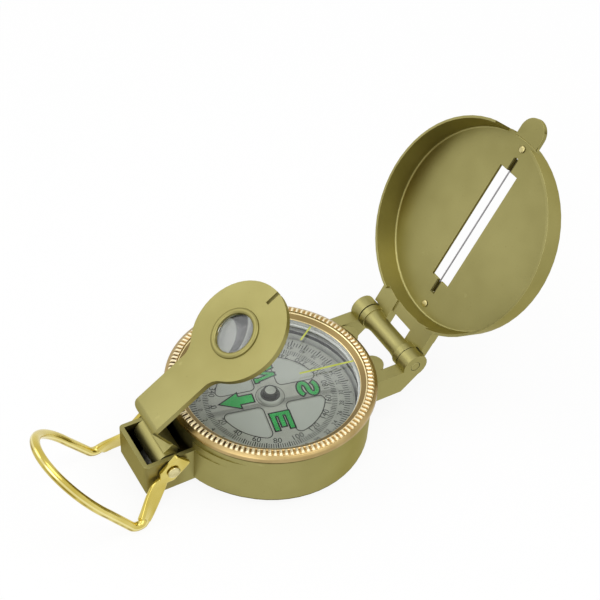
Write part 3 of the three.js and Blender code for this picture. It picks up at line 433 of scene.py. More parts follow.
def clearFinish(name, rim, rough):
    # thin clear sheet: straight through, faint smears and a mirror share that grows at grazing angles
    look = sheetLook
    made = newFinish(name)
    smear = made.between(made.grain(look["smears"], 3, (1, 2.5, 1)), 0.5, 0.8)
    edge = made.node("Fresnel", {}, {"IOR": look["ior"]})
    hazy = rough + smear * look["smearRough"]
    gloss = made.node("BsdfGlossy", {}, {"Color": (1, 1, 1, 1), "Roughness": hazy})
    through = made.node("BsdfTransparent", {}, {"Color": look["through"]})
    mirror = edge * rim + smear * look["smearShine"]
    return made.close(made.node("MixShader", {}, {0: mirror, 1: through, 2: gloss}))


bezelClear = clearFinish("bezelClear", 0.1, 0.03)
windowClear = clearFinish("windowClear", 0.05, 0.06)

lens = {
    "radius": 5.45, "edge": 0.6, "sag": 0.3, "raise": 35.5, "rings": 14, "steps": 96, "ior": 1.5,
    "tone": (0.88, 0.89, 0.89, 1), "shadow": (0.93, 0.94, 0.93, 1), "dust": 1300, "rough": (0.01, 0.25),
}


def lensFinish():
    # ground glass lens: real bending of light, a few dust motes, no hard shadow under it
    made = newFinish("lensGlass")
    dust = made.between(made.grain(lens["dust"]), 0.68, 0.76)
    polished, dusty = lens["rough"]
    bend = made.node("BsdfPrincipled", {}, {
        "Base Color": lens["tone"], "Roughness": polished + dust * dusty,
        "Transmission Weight": 1.0, "IOR": lens["ior"],
    })
    through = made.node("BsdfTransparent", {}, {"Color": lens["shadow"]})
    shadow = made.node("LightPath", {}, {}, "Is Shadow Ray")
    return made.close(made.node("MixShader", {}, {0: shadow, 1: bend, 2: through}))


lensGlass = lensFinish()
print("finishes ready:", len(bpy.data.materials))


def placed(name, data):
    item = bpy.data.objects.new(name, data)
    bpy.context.scene.collection.objects.link(item)
    return item


def smoothed(mesh, angle):  # smooth shading, sharp where faces meet at more than the angle
    mesh.polygons.foreach_set("use_smooth", np.ones(len(mesh.polygons), bool))
    mesh.set_sharp_from_angle(angle=radians(angle))


def rework(mesh, change):  # put the mesh through a change that bmesh makes
    body = bmesh.new()
    body.from_mesh(mesh)
    change(body)
    body.to_mesh(mesh)
    body.free()


def outward(body):
    bmesh.ops.recalc_face_normals(body, faces=body.faces)


def meshPiece(name, points, faces, look, edges=40, uvs=None):
    mesh = bpy.data.meshes.new(name)
    mesh.from_pydata((np.asarray(points) * mm).tolist(), [], [list(face) for face in faces])
    smoothed(mesh, edges)
    mesh.materials.append(look)
    if uvs is not None:
        corner = [spot.vertex_index for spot in mesh.loops]
        mesh.uv_layers.new(name="way").data.foreach_set("uv", np.asarray(uvs)[corner].ravel())
    return placed(name, mesh)


def addMark(piece, name, value):  # one number at each point, for the finish to read
    piece.data.attributes.new(name, "FLOAT", "POINT").data.foreach_set("value", value.ravel())


def settle(piece, body, slotName, *nodes):
    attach(piece, body)
    if nodes:
        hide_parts(*nodes)


def joined(parts):  # points and faces of several shapes run together
    start = np.cumsum([0] + [len(points) for points, faces in parts])
    faces = [[k + first for k in face] for (points, some), first in zip(parts, start) for face in some]
    return np.concatenate([points for points, some in parts]), faces


def unit(ways):
    return ways / np.linalg.norm(ways, axis=1, keepdims=True)


def heading(angle):  # the direction that an angle points in
    return np.stack([np.cos(angle), np.sin(angle)], -1)


def gridFaces(rows, columns, roundRows, roundColumns):
    # quads of a grid whose last row or column may meet the first
    row = np.arange(rows if roundRows else rows - 1)[:, None]
    column = np.arange(columns if roundColumns else columns - 1)[None, :]
    here, ahead = row * columns, (row + 1) % rows * columns
    beside = (column + 1) % columns
    corners = [here + column, here + beside, ahead + beside, ahead + column]
    return np.stack(np.broadcast_arrays(*corners), -1).reshape(-1, 4)


def filletLoop(corners, reach, steps):
    # closed outline: each corner becomes a small curve that leaves the sides at most "reach" from it
    corners = np.array(corners, float)
    back = np.roll(corners, 1, 0) - corners
    ahead = np.roll(corners, -1, 0) - corners
    backLong = np.linalg.norm(back, axis=1, keepdims=True)
    aheadLong = np.linalg.norm(ahead, axis=1, keepdims=True)
    cut = np.minimum(reach, 0.45 * np.minimum(backLong, aheadLong))
    start = (corners + back / backLong * cut)[:, None]
    end = (corners + ahead / aheadLong * cut)[:, None]
    share = np.linspace(0, 1, steps)[None, :, None]
    bend = (1 - share) ** 2 * start + 2 * share * (1 - share) * corners[:, None] + share ** 2 * end
    return bend.reshape(-1, 2)


def lathe(name, profile, look, steps, turn=Matrix(), edges=40):
    # a profile of radius and height carried round Z; a radius of 0 at either end closes there
    def closeEnds(body):
        bmesh.ops.remove_doubles(body, verts=body.verts, dist=1e-7)
        outward(body)

    radius, height = np.array(profile, float).T[:, :, None]
    angle = np.linspace(0, 2 * pi, steps, endpoint=False)
    points = np.stack(np.broadcast_arrays(radius * np.cos(angle), radius * np.sin(angle), height), -1)
    faces = gridFaces(len(profile), steps, False, True)[:, ::-1]
    piece = meshPiece(name, points.reshape(-1, 3), faces, look, edges)
    rework(piece.data, closeEnds)
    piece.data.set_sharp_from_angle(angle=radians(edges))
    piece.data.transform(turn)
    return piece


brokenEdge = {"merge": 0.002, "flat": 0.4, "angle": 38, "segments": 3, "weight": 80}


def castCopy(node, name, look, edgeLook, width):
    # the solid's own shape with its flat triangles joined and its edges broken by a small round
    def joinFlats(body):
        flat = radians(brokenEdge["flat"])
        bmesh.ops.remove_doubles(body, verts=body.verts, dist=brokenEdge["merge"] * mm)
        bmesh.ops.dissolve_limit(body, angle_limit=flat, verts=body.verts, edges=body.edges, delimit=set())
        bmesh.ops.triangulate(body, faces=[face for face in body.faces if len(face.verts) > 4])

    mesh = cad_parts[node].data.copy()
    mesh.name = name
    rework(mesh, joinFlats)
    mesh.materials.clear()
    mesh.materials.append(look)
    mesh.materials.append(edgeLook)
    mesh.polygons.foreach_set("material_index", np.zeros(len(mesh.polygons), np.int32))
    smoothed(mesh, brokenEdge["angle"])
    piece = placed(name, mesh)
    if width:
        broken = piece.modifiers.new("brokenEdge", "BEVEL")
        broken.width = width * mm
        broken.segments = brokenEdge["segments"]
        broken.limit_method = "ANGLE"
        broken.angle_limit = radians(brokenEdge["angle"])
        broken.loop_slide = False
        # the round faces take the second finish; for the castings that is the lighter edge tone, wear with a
        # painted highlight
        broken.material = 1
        even = piece.modifiers.new("evenNormals", "WEIGHTED_NORMAL")
        even.weight = brokenEdge["weight"]
        even.keep_sharp = True
    return piece


# Pieces that keep the solid's shape: solid, piece, finish, width of the broken edge, body, slot
castPieces = [
    ("case_shell", "caseShell", caseCasting, 0.22, "case", "casting"),
    ("lid_shell", "lidCasting", lidCasting, 0.18, "lid", "casting"),
    ("eyepiece_bracket", "eyepieceCasting", casting, 0.34, "eyepiece", "casting"),
    ("lid_hinge_pin", "lidHingePin", casting, 0.18, "case", "steel"),
]
plainPieces = [
    ("eyepiece_hinge_pin", "eyepieceHingePin", paleBrass, 0.3, "case", "steel"),
    ("eyepiece_leaf_spring", "eyepieceLeafSpring", brightSteel, 0.06, "case", "steel"),
    ("wire_rivet_hinge_end", "wireRivetHingeEnd", paleBrass, 0.16, "lid", "steel"),
    ("wire_rivet_tab_end", "wireRivetTabEnd", paleBrass, 0.16, "lid", "steel"),
    ("sighting_wire", "sightingWire", wireSteel, 0, "lid", "steel"),
    ("bezel_spring", "bezelSnapWire", brightSteel, 0, "case", "steel"),
    ("dial_magnet", "dialMagnet", magnetSteel, 0.12, "dial", "magnet"),
    ("pivot_post", "pivotPost", brightSteel, 0, "case", "steel"),
    ("pivot_jewel", "pivotJewel", brightSteel, 0, "dial", "steel"),
    ("glass_retainer", "glassRetainer", wallWhite, 0.08, "bezel", "bezel_brass"),
    ("capsule_cup", "capsuleCup", capsuleWhite, 0.2, "case", "capsule_white"),
    ("capsule_window", "capsuleWindow", windowClear, 0, "case", "clear"),
    ("bezel_glass", "bezelGlass", bezelClear, 0, "bezel", "clear"),
]
for node, name, look, width, body, slotName in castPieces:
    settle(castCopy(node, name, look, castingEdge, width), body, slotName, node)
print("castings dressed:", len(castPieces))
for node, name, look, width, body, slotName in plainPieces:
    settle(castCopy(node, name, look, look, width), body, slotName, node)
print("small pieces dressed:", len(plainPieces))


def lensTurn():  # from the lens's own axes to its place in the raised eyepiece
    low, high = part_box("magnifying_lens")
    return Matrix.Translation((low + high) / 2) @ Matrix.Rotation(radians(lens["raise"]), 4, "X")


def makeLens():
    # two shallow domes back to back: height falls with the square of the radius
    spread = np.linspace(0, lens["radius"], lens["rings"])
    dome = lens["edge"] / 2 + lens["sag"] * (1 - (spread / lens["radius"]) ** 2)
    profile = np.concatenate([np.stack([spread, dome], 1), np.stack([spread, -dome], 1)[::-1]])
    return lathe("magnifyingLens", profile, lensGlass, lens["steps"], lensTurn())


settle(makeLens(), "eyepiece", "clear", "magnifying_lens")

lensRing = {
    "outer": 6.67, "opening": 5.14, "seat": 5.5, "tube": 5.97, "foot": -0.75, "lip": 0.58, "flange": 0.88,
    "rise": 0.6, "fullness": 0.8, "beadSteps": 13,
}


def makeLensRing():
    # a tube that holds the lens, with a bead on top: height is the sine of the way over it, made fuller
    r = lensRing
    angle = np.linspace(0, pi, r["beadSteps"])
    middle, half = (r["outer"] + r["opening"]) / 2, (r["outer"] - r["opening"]) / 2
    rise = r["rise"] * np.sin(angle) ** r["fullness"]
    bead = np.stack([middle + half * np.cos(angle), r["flange"] + rise], 1)
    tube = [
        (r["opening"], r["lip"]), (r["seat"], r["lip"]), (r["seat"], r["foot"]),
        (r["tube"], r["foot"]), (r["tube"], r["flange"]), (r["outer"], r["flange"]),
    ]
    return lathe("lensRing", np.concatenate([bead, tube]), casting, lens["steps"], lensTurn())


settle(makeLensRing(), "eyepiece", "casting", "lens_ring")
print("lens and its ring made")

bezel = {
    "teeth": 120, "perTooth": 10, "depth": 0.34, "sharpness": 1.4, "cutShare": 0.7,
    "round": 0.1, "roundSteps": 3, "paintRadius": 23.42, "paintTop": 16.25,
    # tone, then radius and height of each corner that has it: skirt, crest, step, slope, lip, bore, groove
    "outline": [
        ("bare", [(27.43, 16.1), (27.28, 17.035), (26.5, 17.55)]),
        ("cut", [(26.28, 17.73)]),
        ("tooth", [(25.98, 17.97), (25.36, 17.97), (24.74, 17.97)]),
        ("wall", [(24.71, 17.8), (24.64, 17.54)]),
        ("line", [(24.62, 17.42), (24.42, 17.3)]),
        ("slope", [(24.32, 17.24), (23.17, 16.5)]),
        ("line", [(23.07, 16.44), (22.95, 16.36)]),
        ("bare", [(22.95, 16.2), (23.4, 16.2), (23.4, 13.4), (24.3, 13.4)]),
        ("bare", [(24.3, 13.78), (23.85, 13.78), (23.85, 15.18), (24.3, 15.18), (24.3, 16.1)]),
    ],
}


def makeBezel():
    # ring profile carried round Z; each tooth gap sinks the crest along the profile's own normal by
    # depth x (half a cosine wave) ^ sharpness, where the corner's tone is tooth
    b = bezel
    tones = dict(zip(("bare", "tooth", "wall", "line", "slope"), np.eye(5)))
    tones["cut"] = tones["tooth"] * b["cutShare"]
    names, corners = zip(*((tone, corner) for tone, run in b["outline"] for corner in run))
    around = filletLoop(corners, b["round"], b["roundSteps"])
    share = np.repeat([tones[name] for name in names], b["roundSteps"], axis=0)
    ahead = np.roll(around, -1, 0) - np.roll(around, 1, 0)
    normal = unit(np.stack([ahead[:, 1], -ahead[:, 0]], 1))
    angle = np.linspace(0, 2 * pi, b["teeth"] * b["perTooth"], endpoint=False)
    sunk = (0.5 - 0.5 * np.cos(b["teeth"] * angle)) ** b["sharpness"]
    deep = share[:, 1:2] * sunk
    radius = around[:, :1] - b["depth"] * deep * normal[:, :1]
    height = around[:, 1:] - b["depth"] * deep * normal[:, 1:]
    points = np.stack([radius * np.cos(angle), radius * np.sin(angle), height], -1).reshape(-1, 3)
    faces = gridFaces(len(around), len(angle), True, True)[:, ::-1]
    piece = meshPiece("bezelRing", points, faces, roseBrass, 50)
    addMark(piece, "low", deep)
    # marks for the finish: painted highlight on the tips and the edge lines, painted light on the step wall,
    # painted dark reflection on the slope
    addMark(piece, "tip", share[:, 1:2] * (1 - sunk))
    for column, name in enumerate(("wall", "line", "slope"), 2):
        addMark(piece, name, np.repeat(share[:, column], len(angle)))
    piece.data.materials.append(wallWhite)
    x, y, z = points[faces].mean(1).T
    bore = (np.hypot(x, y) < b["paintRadius"]) & (z < b["paintTop"])  # painted like the capsule
    piece.data.polygons.foreach_set("material_index", bore.astype(np.int32))
    return piece


settle(makeBezel(), "bezel", "bezel_brass", "bezel_ring")
print("bezel ring made with", bezel["teeth"], "teeth")

loop = {
    "pinY": -32.3, "pinZ": 7.9, "tabX": 8.25, "tab": 1.2, "tabBack": 4.1, "tabHalf": 2.6, "bore": 1.2,
    "neck": 4.1, "neckHalf": 0.95, "lap": 0.9, "slant": 0.45, "soft": 26, "tabSteps": 144,
    "tabEdge": [(0.5, 0.6), (0.5, 0.22), (0.47, 0.08), (0.36, 0), (0, 0)],  # share of the thickness, inset
    "arm": 16.25, "drop": 43.66, "rise": 53.5, "bend": 2.4, "straight": 12.0, "end": 18.5, "half": 13.4,
    "taper": 0.7, "leafHalf": 2.3, "leafThin": 0.55, "leafFlat": 2.5, "leafPeak": 0.6, "wire": 1.2,
    "armSteps": 44, "bendSteps": 18, "sideSteps": 12, "endSteps": 60, "sides": 32,
}


def loopHalfPath():
    # one half, seen along the pin: a leaf arm down, a round bend, a straight rise and a quarter ellipse
    drop, rise = radians(loop["drop"]), radians(loop["rise"])
    armWay = -heading(drop)
    riseWay = np.array([-cos(rise), sin(rise)])
    turn = drop + rise
    cut = loop["bend"] * np.tan(turn / 2)
    middle = loop["tabX"] + loop["tab"] / 2
    along = np.linspace(loop["neck"] - loop["lap"], loop["arm"] - cut, loop["armSteps"])
    part = (along - along[0]) / (loop["arm"] - along[0])
    flare = part * part * (3 - 2 * part)
    leaf = np.sin(pi * part ** loop["leafPeak"])
    bar = loop["neckHalf"] * (1 - flare) + loop["wire"] * flare
    arm = {
        "x": middle + (loop["half"] - middle) * flare,
        "place": along[:, None] * armWay,
        "way": np.broadcast_to(armWay, (len(along), 2)),
        "wide": bar + (loop["leafHalf"] - loop["neckHalf"]) * leaf,
        "thin": loop["leafThin"] + (loop["wire"] - loop["leafThin"]) * flare ** 3,
        "square": 2 + 2 * (1 - part) + loop["leafFlat"] * leaf,
        "drawn": flare ** 3,
    }
    centre = armWay * (loop["arm"] - cut) + np.array([-sin(drop), cos(drop)]) * loop["bend"]
    angle = drop - turn * np.linspace(0, 1, loop["bendSteps"] + 1)[1:]
    bend = {
        "x": np.full(len(angle), loop["half"]),
        "place": centre + loop["bend"] * np.stack([np.sin(angle), -np.cos(angle)], 1),
        "way": -heading(angle),
    }
    corner = armWay * loop["arm"]
    share = np.linspace(0, 1, loop["sideSteps"] + 1)[1:]
    side = {
        "x": loop["half"] - loop["taper"] * share,
        "place": corner + (cut + (loop["straight"] - cut) * share)[:, None] * riseWay,
    }
    quarter = pi / 2 * np.linspace(0, 1, loop["endSteps"] + 1)[1:]
    end = {
        "x": (loop["half"] - loop["taper"]) * np.cos(quarter),
        "place": corner + (loop["straight"] + loop["end"] * np.sin(quarter))[:, None] * riseWay,
    }
    for run in (bend, side, end):
        size = len(run["x"])
        run.setdefault("way", np.broadcast_to(riseWay, (size, 2)))
        run["wide"] = run["thin"] = np.full(size, loop["wire"])
        run["square"] = np.full(size, 2.0)
        run["drawn"] = np.ones(size)
    return {key: np.concatenate([run[key] for run in (arm, bend, side, end)]) for key in arm}


def makeLoopWire():
    # the half path mirrored in x, with a section that goes from a flat rounded bar to a round wire:
    # half width x cos ^ (2 / square) and half thickness x sin ^ (2 / square), each with its sign
    half = loopHalfPath()
    whole = {key: np.concatenate([value, value[-2::-1]]) for key, value in half.items()}
    whole["x"] = np.concatenate([half["x"], -half["x"][-2::-1]])
    centre = np.column_stack([whole["x"], whole["place"]])
    along = unit(np.gradient(centre, axis=0))
    wideWay = np.column_stack([np.zeros(len(centre)), -whole["way"][:, 1], whole["way"][:, 0]])
    thinWay = unit(np.cross(along, wideWay))
    angle = np.linspace(0, 2 * pi, loop["sides"], endpoint=False)
    power = (2 / whole["square"])[:, None]
    wide = whole["wide"][:, None] * np.sign(np.cos(angle)) * np.abs(np.cos(angle)) ** power
    thin = whole["thin"][:, None] * np.sign(np.sin(angle)) * np.abs(np.sin(angle)) ** power
    points = centre[:, None] + wide[..., None] * wideWay[:, None] + thin[..., None] * thinWay[:, None]
    points += np.array([0, loop["pinY"], loop["pinZ"]])
    rows, columns = points.shape[:2]
    faces = gridFaces(rows, columns, False, True).tolist()
    faces += [list(range(columns))[::-1], list(range((rows - 1) * columns, rows * columns))]
    length = np.concatenate([[0], np.cumsum(np.linalg.norm(np.diff(centre, axis=0), axis=1))])
    uvs = np.stack(np.broadcast_arrays(length[:, None] / 10, angle / (2 * pi)), -1).reshape(-1, 2)
    return points.reshape(-1, 3), faces, uvs, np.repeat(whole["drawn"], columns)


def makeLoopTab(side):
    # flat plate round the pin: for each angle the outline is a soft minimum of its straight sides' distances,
    # and a small cross-section runs from the bore over the rounded edge and back
    drop = radians(loop["drop"])
    half = loop["tabHalf"]
    slant = np.arctan2(loop["neck"] * loop["slant"], half - loop["neckHalf"])
    slantReach = np.sin(slant) * half + np.cos(slant) * loop["neck"] * (1 - loop["slant"])
    ways = np.array([pi, 0, pi / 2, -pi / 2, slant, -slant])
    reach = np.array([loop["tabBack"], loop["neck"], half, half, slantReach, slantReach])
    angle = np.linspace(0, 2 * pi, loop["tabSteps"], endpoint=False)
    facing = np.clip(np.cos(angle[:, None] - ways), 0, None) / reach
    outer = (facing ** loop["soft"]).sum(1) ** (-1 / loop["soft"])
    upper = np.array(loop["tabEdge"])
    share, inset = np.concatenate([upper, upper[-2::-1] * (-1, 1)]).T
    lift = np.pad(share, 1, "edge")[:, None] * loop["tab"]
    bore = np.full((1, len(angle)), loop["bore"])
    radius = np.concatenate([bore, outer - inset[:, None], bore])
    across = radius * np.sin(angle)
    ahead = radius * np.cos(angle)
    y = -ahead * cos(drop) + across * sin(drop)
    z = -ahead * sin(drop) - across * cos(drop)
    x = side * (loop["tabX"] + loop["tab"] / 2) + np.broadcast_to(lift, y.shape)
    points = np.stack([x, y + loop["pinY"], z + loop["pinZ"]], -1).reshape(-1, 3)
    faces = gridFaces(len(lift), len(angle), True, True)
    uvs = np.stack([ahead / 10, across / 10], -1).reshape(-1, 2)
    return points, faces.tolist(), uvs, np.zeros(len(points))


def makeThumbLoop():
    parts = [makeLoopWire(), makeLoopTab(1), makeLoopTab(-1)]
    points, faces = joined([part[:2] for part in parts])
    uvs, drawn = (np.concatenate([part[column] for part in parts]) for column in (2, 3))
    piece = meshPiece("thumbLoop", points, faces, drawnBrass, 45, uvs)
    rework(piece.data, outward)
    addMark(piece, "drawn", drawn)
    return piece


settle(makeThumbLoop(), "loop", "loop_brass", "thumb_loop")
print("thumb loop made")

card = {
    "top": 10.0, "north": -102.0, "ink": 0.015, "paint": 0.035, "layer": 0.001, "aside": -0.5, "rimOut": 0.42,
    "dark": (182, 184, 174), "light": (196, 198, 188), "rough": 0.5,
    "window": (196, 201, 193), "windowShare": 0.8, "pressed": (0.04, 0.1),
    "band": (110, 112, 104), "bandShare": 0.6, "bandAcross": (1.3, 1.9, 2.6, 4.2), "bandAlong": (19, 16),
    # fan: spoke, rim, corner, half width; text: radius, height; ticks: count, two radii, half width
    "hubRing": (3.75, 0.07, 60), "fan": (3.05, 14.35, 1.5, 0.12), "digitShare": 0.73,
    "degreeText": (15.1, 1.7), "milText": (18.6, 1.25),
    "degreeTicks": [(180, 16.2, 17.55, 0.09), (36, 16.0, 17.55, 0.13)],
    "milTicks": [(160, 19.4, 20.9, 0.10), (32, 19.4, 21.6, 0.14)],
    "northLine": (14.4, 16.4, 0.07), "northEye": (15.9, 0.42, 0.06, 24),
}


def bandShade(made):  # painted shadow of the bar magnet below: a soft dark band beside the axis
    north = radians(card["north"])
    along = abs(made.toward((cos(north), sin(north), 0)))
    across = made.toward((-sin(north), cos(north), 0))
    return made.stripe(across, *card["bandAcross"]) * made.fade(along, *card["bandAlong"]) * card["bandShare"]


def windowShade(made):  # the four windows pressed into the card
    return made.fade(made.axis("Z"), *(card["top"] - drop for drop in card["pressed"])) * card["windowShare"]


cardShades = [(bandShade, card["band"]), (windowShade, card["window"])]
cardWhite = plasticFinish("cardWhite", card["dark"], card["light"], card["rough"], 0, cardShades)
settle(castCopy("dial_card", "dialCard", cardWhite, cardWhite, 0.05), "dial", "card_white", "dial_card")

hub = {
    "foot": 10.05, "top": 12.3, "neck": 1.6, "bore": 1.05, "deep": 0.5,
    "steel": (1.45, 2.65, 0.3),  # two radii, rise from the foot: dull steel on the cap's rim, painted shade on the skirt below it
    # radius and drop from the top, then radius and rise from the foot
    "cap": [(0, 0.12), (0.9, 0.1), (1.4, 0), (1.75, 0), (1.95, 0.14), (2.0, 0.4)],
    "flange": [(2.0, 0.95), (2.1, 0.82), (2.6, 0.72), (3.05, 0.5), (3.2, 0.25), (3.2, 0)],
}


def makeHub():
    # pale dished cap with a dark steel rim and a skirt darkened with painted shade, on a pale flange
    h = hub
    under = h["foot"] - h["deep"]
    roof = h["top"] - h["deep"]
    profile = [(radius, h["top"] - drop) for radius, drop in h["cap"]]
    profile += [(radius, h["foot"] + rise) for radius, rise in h["flange"]]
    profile += [(h["neck"], h["foot"]), (h["neck"], under), (h["bore"], under), (h["bore"], roof), (0, roof)]
    piece = lathe("dialHub", profile, hubWhite, 72, edges=35)
    piece.data.materials.append(dullSteelAndShade)
    x, y, z = np.array([face.center for face in piece.data.polygons]).T / mm
    out = np.hypot(x, y)
    near, far, up = h["steel"]
    steel = (out > near) & (out < far) & (z > h["foot"] + up)
    piece.data.polygons.foreach_set("material_index", steel.astype(np.int32))
    return piece


settle(makeHub(), "dial", "card_white", "dial_hub")


def ribbon(path, half, extend=0.0):
    # flat strip along a path: each point is set off to both sides along the mean of its neighbours' normals
    path = np.array(path, float)
    way = unit(np.diff(path, axis=0))
    path[0] -= way[0] * extend
    path[-1] += way[-1] * extend
    normal = np.stack([-way[:, 1], way[:, 0]], 1)
    first = np.concatenate([normal[:1], normal])
    last = np.concatenate([normal, normal[-1:]])
    mitre = (first + last) / (1 + (first * last).sum(1, keepdims=True))
    n = len(path)
    k = np.arange(n - 1)
    faces = np.stack([n + k, n + k + 1, k + 1, k], 1).tolist()
    return np.concatenate([path + mitre * half, path - mitre * half]), faces


def ring(radius, half, steps, centre=(0, 0)):
    angle = np.linspace(0, 2 * pi, steps + 1)
    return ribbon(radius * heading(angle) + np.array(centre), half)


def ticks(count, inner, outer, half):
    # short radial strips at even angles
    angle = np.arange(count) * 2 * pi / count
    way = heading(angle)
    across = heading(angle + pi / 2) * half
    start, end = way * inner, way * outer
    corners = np.stack([start - across, end - across, end + across, start + across], 1)
    return corners.reshape(-1, 2), np.arange(count * 4).reshape(-1, 4).tolist()


def number(text, height):  # a plain number made a flat mesh, centred
    curve = bpy.data.curves.new("number", "FONT")
    curve.body = text
    curve.size = height / card["digitShare"]
    curve.align_x = "CENTER"
    curve.resolution_u = 3
    holder = placed("number", curve)
    mesh = bpy.data.meshes.new_from_object(holder.evaluated_get(bpy.context.evaluated_depsgraph_get()))
    points = np.array([point.co[:2] for point in mesh.vertices])
    faces = [list(face.vertices) for face in mesh.polygons]
    bpy.data.objects.remove(holder)
    bpy.data.curves.remove(curve)
    bpy.data.meshes.remove(mesh)
    return points - np.array([0, height / 2]), faces


def flatPrint(name, parts, z, look):
    # flat outlines turned to face up, each a hair above the last so that no two share a plane
    def faceUp(body):
        body.normal_update()
        bmesh.ops.reverse_faces(body, faces=[face for face in body.faces if face.normal.z < 0])

    heights = [np.full(len(points), z + card["layer"] * index) for index, (points, some) in enumerate(parts)]
    points, faces = joined(parts)
    piece = meshPiece(name, np.column_stack([points, np.concatenate(heights)]), faces, look)
    rework(piece.data, faceUp)
    return piece


def onCard(points):  # the card's plan, east right and north up, laid as the photograph shows it
    north = radians(card["north"])
    return points @ heading(np.array([north + pi / 2, north]))


letters = {
    "half": 0.52, "thinHalf": 0.4, "south": (-0.15, -10.4), "bowl": (2.15, 1.15), "sweep": (25, 270, 26),
    "stem": 6.5, "stemEnds": (-3.05, 2.05), "bars": [(1.5, 11.8), (-0.5, 10.8), (-2.5, 11.8)],  # height, end
    "west": [(-11.4, 1.7), (-10.1, -3.3), (-8.75, 0.9), (-7.4, -3.3), (-6.1, 1.7)], "serif": (1.9, 0.7),
}


def letterStrokes():  # paths and half widths: S is two elliptic bowls, E and W are straight
    spin = np.radians(np.linspace(*letters["sweep"]))
    wide, high = letters["bowl"]
    upper = np.stack([wide * np.cos(spin), high + high * np.sin(spin)], 1)
    letterS = np.concatenate([upper, -upper[-2::-1]]) + np.array(letters["south"])
    stem = letters["stem"]
    letterE = [[(stem, end) for end in letters["stemEnds"]]]
    letterE += [[(stem, height), (end, height)] for height, end in letters["bars"]]
    corners = letters["west"]
    top, reach = letters["serif"]
    letterW = [*zip(corners, corners[1:])]
    letterW += [[(x - reach, top), (x + reach, top)] for x, y in (corners[0], corners[-1])]
    bold = [(stroke, letters["half"]) for stroke in [letterS, *letterE]]
    return bold + [(stroke, letters["thinHalf"]) for stroke in letterW]


arrowShape = {
    "head": 13.2, "base": 8.35, "tail": 4.6, "wide": 2.55, "shaft": 1.25, "headGrow": 2.2, "wideGrow": 1.6,
}


def arrow(grow):  # outline of the north arrow, grown on all sides for its dark border
    a = arrowShape
    head, wide = a["head"] + a["headGrow"] * grow, a["wide"] + a["wideGrow"] * grow
    base, tail, shaft = a["base"] - grow, a["tail"] - grow, a["shaft"] + grow
    left = [(-wide, base), (-shaft, base), (-shaft, tail)]
    points = np.array([(0, head), *left, *((-x, y) for x, y in left[::-1])])
    return points + np.array([card["aside"], 0]), [[0, 1, 2, 5, 6], [2, 3, 4, 5]]


def fanOutlines():
    # line round each window: a quarter circle joined to two straight spokes by small round corners
    def arc(x, y, radius, start, end, steps):
        return np.array([x, y]) + radius * heading(np.linspace(start, end, steps))

    spoke, rim, corner, half = card["fan"]
    low, far = spoke + corner, rim - corner
    tip = np.arcsin(low / far)
    path = np.concatenate([
        arc(low, low, corner, 1.5 * pi, pi, 7),
        arc(far * sin(tip), far * cos(tip), corner, pi, pi / 2 - tip, 9),
        arc(0, 0, rim, pi / 2 - tip, tip, 30)[1:-1],
        arc(far * cos(tip), far * sin(tip), corner, tip, -pi / 2, 9),
    ])
    path = np.concatenate([path, path[:1]])
    spins = [np.array([[cos(q), sin(q)], [-sin(q), cos(q)]]) for q in np.arange(4) * pi / 2]
    return [ribbon(path @ spin, half) for spin in spins]


def northMark():  # a short line and a small eye past the arrow's head
    start, end, half = card["northLine"]
    at, *eye = card["northEye"]
    aside = card["aside"]
    return [ribbon([(aside, start), (aside, end)], half), ring(*eye, (aside, at))]


def numbersRound(values, radius, height):
    # plain numbers round the card, their heads toward the hub, rising anticlockwise from north
    laid = []
    for index, value in enumerate(values):
        points, faces = number(str(value), height)
        angle = radians(card["north"] + 360 / len(values) * index)
        across, away = heading(angle + pi / 2), heading(angle)
        laid.append((points[:, :1] * across - points[:, 1:] * away + away * radius, faces))
    return laid


def printCard():
    border = [ribbon(stroke, half + card["rimOut"], card["rimOut"]) for stroke, half in letterStrokes()]
    fill = [ribbon(stroke, half) for stroke, half in letterStrokes()]
    dark = [*border, arrow(card["rimOut"]), *fanOutlines(), *northMark()]
    dark += [ticks(*row) for row in card["degreeTicks"]]
    dark += [ring(*card["hubRing"])]
    dark += [ticks(*row) for row in card["milTicks"]]
    laid = [(onCard(points), faces) for points, faces in dark]
    laid += numbersRound(range(0, 360, 20), *card["degreeText"])
    laid += numbersRound(range(0, 64, 2), *card["milText"])
    settle(flatPrint("cardPrint", laid, card["top"] + card["ink"], cardInk), "dial", "card_white")
    green = [(onCard(points), faces) for points, faces in [*fill, arrow(0.0)]]
    settle(flatPrint("cardGreenPaint", green, card["top"] + card["paint"], greenPaint), "dial", "card_white")


printCard()
print("card printed")

sight = {
    "top": 16.05, "lift": 0.02,
    "lines": [(80.5, 7.8, 22.9, 0.28), (123.0, 16.8, 22.9, 0.24)],  # angle, two radii, half width
}


def makeSightLines():
    strips = []
    for angle, inner, outer, half in sight["lines"]:
        way = heading(radians(angle))
        strips.append(ribbon([way * inner, way * outer], half))
    return flatPrint("glassSightLines", strips, sight["top"] + sight["lift"], sightPaint)


settle(makeSightLines(), "bezel", "clear")
print("sight lines painted")

view = {  # the camera as fitted to the photograph
    "azimuth": 56.726, "elevation": 42.622, "roll": 4.547, "spot": (0.180878, -0.111810, 0.240249),
    "lens": 72.18, "near": 0.01,
}


def makeCamera():
    data = bpy.data.cameras.new("photoCamera")
    data.lens = view["lens"]
    data.clip_start = view["near"]
    camera = placed("photoCamera", data)
    pose = Matrix.Translation(view["spot"])
    for angle, axis in ((view["azimuth"], "Z"), (90 - view["elevation"], "X"), (view["roll"], "Z")):
        pose @= Matrix.Rotation(radians(angle), 4, axis)
    camera.matrix_world = pose
    bpy.context.scene.camera = camera


makeCamera()

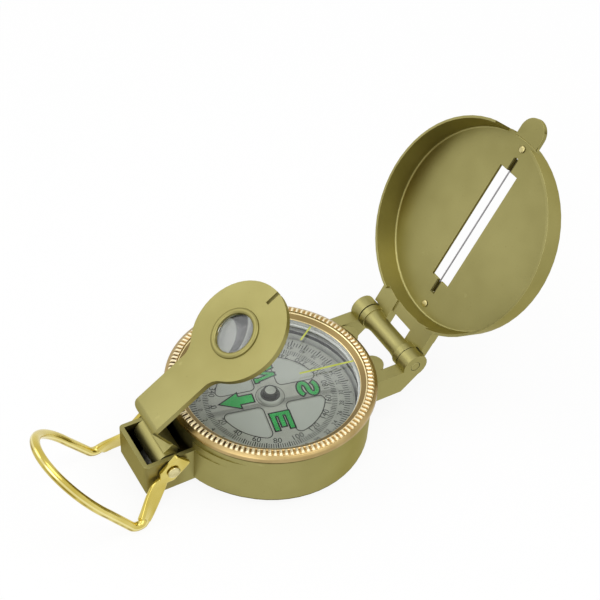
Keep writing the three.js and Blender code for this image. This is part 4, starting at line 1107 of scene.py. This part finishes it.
studio = {
    "floorSize": 3.0, "floorWhite": 0.9, "floorGap": 0.05, "floorPale": 0.94, "floorVary": 0.03,
    "propFront": 12.2, "propRear": 25.7,  # the loop's bend past its pin, and the drum's rear edge
    "ambient": 0.65, "white": (1, 1, 1, 1), "aim": (0, 0, 0.02),
    "lamps": [
        ("keyLamp", (-0.42, -0.40, 0.62), 0.55, 0.9),
        ("topLamp", (0.26, 0.22, 0.92), 0.7, 2.4),
        ("fillLamp", (0.40, -0.55, 0.55), 0.6, 1.4),
    ],
}


def makeFloor():
    # the compass stands on the loop's bends and on the drum's rear edge, so the floor slopes under it
    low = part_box("thumb_loop")[0].z
    front, rear = (loop["pinY"] - studio["propFront"]) * mm, studio["propRear"] * mm
    slope = -low / (rear - front)
    corners = studio["floorSize"] * np.array([(-1, -1), (1, -1), (1, 1), (-1, 1)])
    heights = low - studio["floorGap"] * mm + (corners[:, 1:] - front) * slope
    mesh = bpy.data.meshes.new("floor")
    mesh.from_pydata(np.hstack([corners, heights]).tolist(), [], [[0, 1, 2, 3]])
    floor = placed("floor", mesh)
    made = newFinish("paleFloor")
    matt = made.node("BsdfDiffuse", {}, {"Color": studio["floorPale"] + made.grain(6) * studio["floorVary"]})
    white = made.node("Emission", {}, {"Color": studio["white"]})
    shown = made.node("MixShader", {}, {0: made.seen() * studio["floorWhite"], 1: matt, 2: white})
    under = made.node("NewGeometry", {}, {}, "Backfacing")
    clear = made.node("BsdfTransparent", {}, {})
    mesh.materials.append(made.close(made.node("MixShader", {}, {0: under, 1: shown, 2: clear})))


def makeLight():
    for name, spot, size, power in studio["lamps"]:
        data = bpy.data.lights.new(name, "AREA")
        data.shape = "DISK"
        data.size = size
        data.energy = power
        lamp = placed(name, data)
        lamp.location = spot
        lamp.rotation_euler = (Vector(studio["aim"]) - Vector(spot)).to_track_quat("-Z", "Y").to_euler()
        lamp.visible_camera = False
    world = bpy.data.worlds.new("studioWorld")
    bpy.context.scene.world = world
    sky = Finish(world)
    soft = sky.node("Background", {}, {"Color": studio["white"], "Strength": studio["ambient"]})
    white = sky.node("Background", {}, {"Color": studio["white"]})
    shown = sky.node("MixShader", {}, {0: sky.seen(), 1: soft, 2: white})
    sky.node("OutputWorld", {}, {"Surface": shown})


makeFloor()
makeLight()
bpy.context.scene.view_settings.view_transform = "Standard"
print("studio set")
